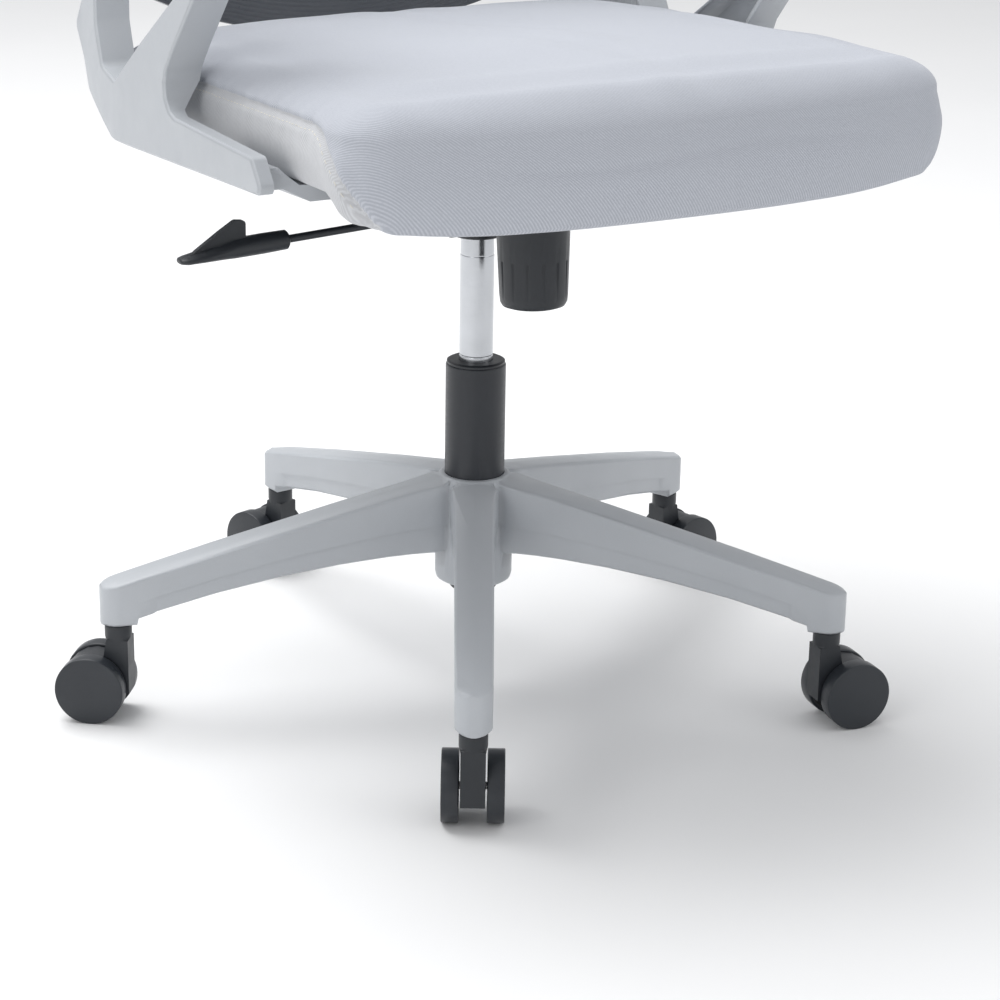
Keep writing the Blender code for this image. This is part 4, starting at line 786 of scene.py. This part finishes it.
def arm_pad(side):
    node = "arm_pad_" + side
    mesh = nodes[node].data.copy()
    pad = bpy.data.objects.new(node + "_cover", mesh)
    bpy.context.scene.collection.objects.link(pad)
    select_only(pad)
    bpy.ops.object.mode_set(mode="EDIT")
    bpy.ops.mesh.select_all(action="SELECT")
    bpy.ops.mesh.remove_doubles(threshold=MERGE_DISTANCE)
    bpy.ops.mesh.dissolve_limited(angle_limit=math.radians(1.0))
    bpy.ops.mesh.select_all(action="DESELECT")
    faces_where(pad, lambda middle, normal: normal.z > 0.95)
    for thickness, depth in PAD_CROWN:
        bpy.ops.mesh.inset(thickness=thickness, depth=depth)
    bpy.ops.object.mode_set(mode="OBJECT")
    soften = pad.modifiers.new("soften", "BEVEL")
    soften.width = PAD_BEVEL
    soften.segments = 3
    soften.limit_method = "ANGLE"
    soften.angle_limit = math.radians(25)
    bpy.ops.object.modifier_apply(modifier=soften.name)
    bpy.ops.object.shade_smooth_by_angle(angle=math.radians(60))
    hand_over(pad, node, [pad_skin])
    return pad


for side in ("left", "right"):
    arm_pad(side)
print("arm pads covered")

# %% [markdown]
# ## The back's net
# The net is one sheet, stretched over the frame's opening and held in its rail. It dishes
# across and swells forward at the small of the back. It is a fine grid on the same curved
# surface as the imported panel, and its edge is hidden inside the rail.

# %% Stretch the net
BACK_HALF, BACK_FOOT, BACK_HEAD = 0.205, 0.165, 0.560
BACK_PLANE, BACK_DISH, BACK_LEAN = 0.190, 0.022, math.radians(8.0)
FOOT_NARROWING, HEAD_NARROWING = 0.035, 0.020
SHOULDER_HEIGHT, WIDEST_SHARE = 0.080, 0.62
LUMBAR_SWELL, LUMBAR_AT, LUMBAR_SPREAD = 0.020, 0.30, 0.28
RAIL = 0.024
NET_TUCK = 0.008  # how far the net runs into the rail
NET_STEP = 0.004


def back_corners(inset):
    """The opening's corners, drawn in from the frame's outer edge."""
    span = BACK_HEAD - BACK_FOOT
    low = BACK_HALF - FOOT_NARROWING - inset * 0.75
    wide = BACK_HALF - inset
    top_half = BACK_HALF - HEAD_NARROWING - inset
    half = [(low, inset), (wide, SHOULDER_HEIGHT + inset * 0.3), (wide, span * WIDEST_SHARE),
            (top_half, span - inset)]
    return np.array(half + [(-x, z) for x, z in reversed(half)])


def is_inside(points, corners):
    inside = np.zeros(len(points), dtype=bool)
    for a, b in zip(corners, np.roll(corners, -1, axis=0)):
        if a[1] == b[1]:
            continue
        spans = (a[1] > points[:, 1]) != (b[1] > points[:, 1])
        cross = a[0] + (points[:, 1] - a[1]) * (b[0] - a[0]) / (b[1] - a[1])
        inside ^= spans & (points[:, 0] < cross)
    return inside


def back_surface(x, up):
    height = up / (BACK_HEAD - BACK_FOOT)
    dish = BACK_DISH * (1 - (x / BACK_HALF) ** 2)
    bend = dish - LUMBAR_SWELL * np.exp(-((height - LUMBAR_AT) / LUMBAR_SPREAD) ** 2)
    y = bend * math.cos(BACK_LEAN) + up * math.sin(BACK_LEAN) + BACK_PLANE
    z = up * math.cos(BACK_LEAN) - bend * math.sin(BACK_LEAN) + BACK_FOOT
    return np.c_[x, y, z]


def net_sheet():
    xs = np.arange(-BACK_HALF, BACK_HALF + NET_STEP, NET_STEP)
    ups = np.arange(0.0, BACK_HEAD - BACK_FOOT + NET_STEP, NET_STEP)
    grid_x, grid_up = np.meshgrid(xs, ups)
    flat = np.c_[grid_x.ravel(), grid_up.ravel()]
    keep = is_inside(flat, back_corners(RAIL - NET_TUCK))
    number = -np.ones(len(flat), dtype=int)
    number[keep] = np.arange(keep.sum())
    index = number.reshape(grid_x.shape)
    cells = np.stack([index[:-1, :-1], index[:-1, 1:], index[1:, 1:], index[1:, :-1]], axis=-1)
    cells = cells.reshape(-1, 4)
    cells = cells[(cells >= 0).all(axis=1)]
    used = np.zeros(keep.sum(), dtype=bool)
    used[cells.ravel()] = True
    renumber = np.cumsum(used) - 1
    kept = flat[keep][used]
    mesh = bpy.data.meshes.new("back_net")
    mesh.from_pydata([tuple(p) for p in in_world(back_surface(kept[:, 0], kept[:, 1]))], [],
                     [tuple(int(renumber[i]) for i in cell) for cell in cells])
    net = bpy.data.objects.new("back_net", mesh)
    bpy.context.scene.collection.objects.link(net)
    return net, len(cells) * NET_STEP ** 2


net, net_area = net_sheet()
select_only(net)
bpy.ops.object.shade_smooth()
hand_over(net, "back_mesh", [back_net_cloth])
print("net area:", round(net_area, 4), "m2")

# %% [markdown]
# ## Studio
# The chair stands on a plain pale floor under one large soft lamp and two weaker ones, in a
# bright even room. Large lamps give the long, soft-edged highlights that show a surface's
# shape.

# %% Floor, room and lamps
FLOOR_SIZE = 14.0
ROOM_LIGHT = 0.63
bpy.ops.object.select_all(action="DESELECT")
bpy.ops.mesh.primitive_plane_add(size=FLOOR_SIZE, location=(0, 0, 0))
floor = bpy.context.object
floor.name = "floor"
floor_paint, tree, shader = new_finish("floor_paint")
mottle = noise(tree, object_place(tree), 3.0, 3.0)
tree.links.new(blend_colours(tree, mottle, (0.87, 0.87, 0.87), (0.90, 0.90, 0.90)),
               shader.inputs["Base Color"])
shader.inputs["Roughness"].default_value = 0.75
floor.data.materials.append(floor_paint)

room = bpy.data.worlds.new("room")
bpy.context.scene.world = room
room.use_nodes = True
room.node_tree.nodes["Background"].inputs["Color"].default_value = (0.97, 0.98, 1.0, 1.0)
room.node_tree.nodes["Background"].inputs["Strength"].default_value = ROOM_LIGHT


def lamp(name, place, aim, size, power):
    light = bpy.data.lights.new(name, "AREA")
    light.size = size
    light.energy = power
    lamp_object = bpy.data.objects.new(name, light)
    bpy.context.scene.collection.objects.link(lamp_object)
    lamp_object.location = place
    lamp_object.rotation_mode = "QUATERNION"
    lamp_object.rotation_quaternion = (Vector(aim) - Vector(place)).to_track_quat("-Z", "Y")
    return lamp_object


lamp("key_lamp", place=(-0.6, 1.2, 3.2), aim=(0.0, 0.0, 0.4), size=2.6, power=106)
lamp("side_lamp", place=(-3.0, -1.4, 1.9), aim=(0.0, 0.0, 0.5), size=2.2, power=22)
lamp("fill_lamp", place=(2.4, -2.6, 1.8), aim=(0.0, 0.0, 0.4), size=2.4, power=16)
print("studio ready")

# %% [markdown]
# ## Camera
# The camera stands in front and to the sitter's right, a little above the seat, and looks
# nineteen degrees down. A long lens keeps the perspective gentle. It is rolled by just under
# one degree, and shifted a little so that the frame cuts the chair where it should.

# %% Place the camera
CAMERA_TURN = math.radians(-29.0)
CAMERA_DOWN = math.radians(19.0)
CAMERA_ROLL = 0.0159
CAMERA_AWAY, CAMERA_ASIDE, CAMERA_HEIGHT = 2.2266, 0.017, 0.9428  # from the lift's axis
LENS = 101.0
SENSOR_WIDTH = 36.0
SHIFT_X, SHIFT_Y = 0.0054, -0.0200
right_way = Vector((math.cos(CAMERA_TURN), math.sin(CAMERA_TURN), 0.0))
away = Vector((-math.sin(CAMERA_TURN), math.cos(CAMERA_TURN), 0.0))
forward = away * math.cos(CAMERA_DOWN) - Vector((0, 0, 1)) * math.sin(CAMERA_DOWN)
upward = right_way.cross(forward)
spot = Vector((lift_x, lift_y, 0.0)) + right_way * CAMERA_ASIDE - away * CAMERA_AWAY
spot.z = CAMERA_HEIGHT
camera_data = bpy.data.cameras.new("camera")
camera_data.sensor_width = SENSOR_WIDTH
camera_data.lens = LENS
camera_data.shift_x = SHIFT_X
camera_data.shift_y = SHIFT_Y
camera = bpy.data.objects.new("camera", camera_data)
bpy.context.scene.collection.objects.link(camera)
rolled_right = right_way * math.cos(CAMERA_ROLL) + upward * math.sin(CAMERA_ROLL)
rolled_up = rolled_right.cross(forward)
camera.matrix_world = Matrix((
    (rolled_right.x, rolled_up.x, -forward.x, spot.x),
    (rolled_right.y, rolled_up.y, -forward.y, spot.y),
    (rolled_right.z, rolled_up.z, -forward.z, spot.z),
    (0.0, 0.0, 0.0, 1.0)))
bpy.context.scene.camera = camera
bpy.context.scene.view_settings.view_transform = "Standard"
print("camera at", [round(c, 3) for c in spot])
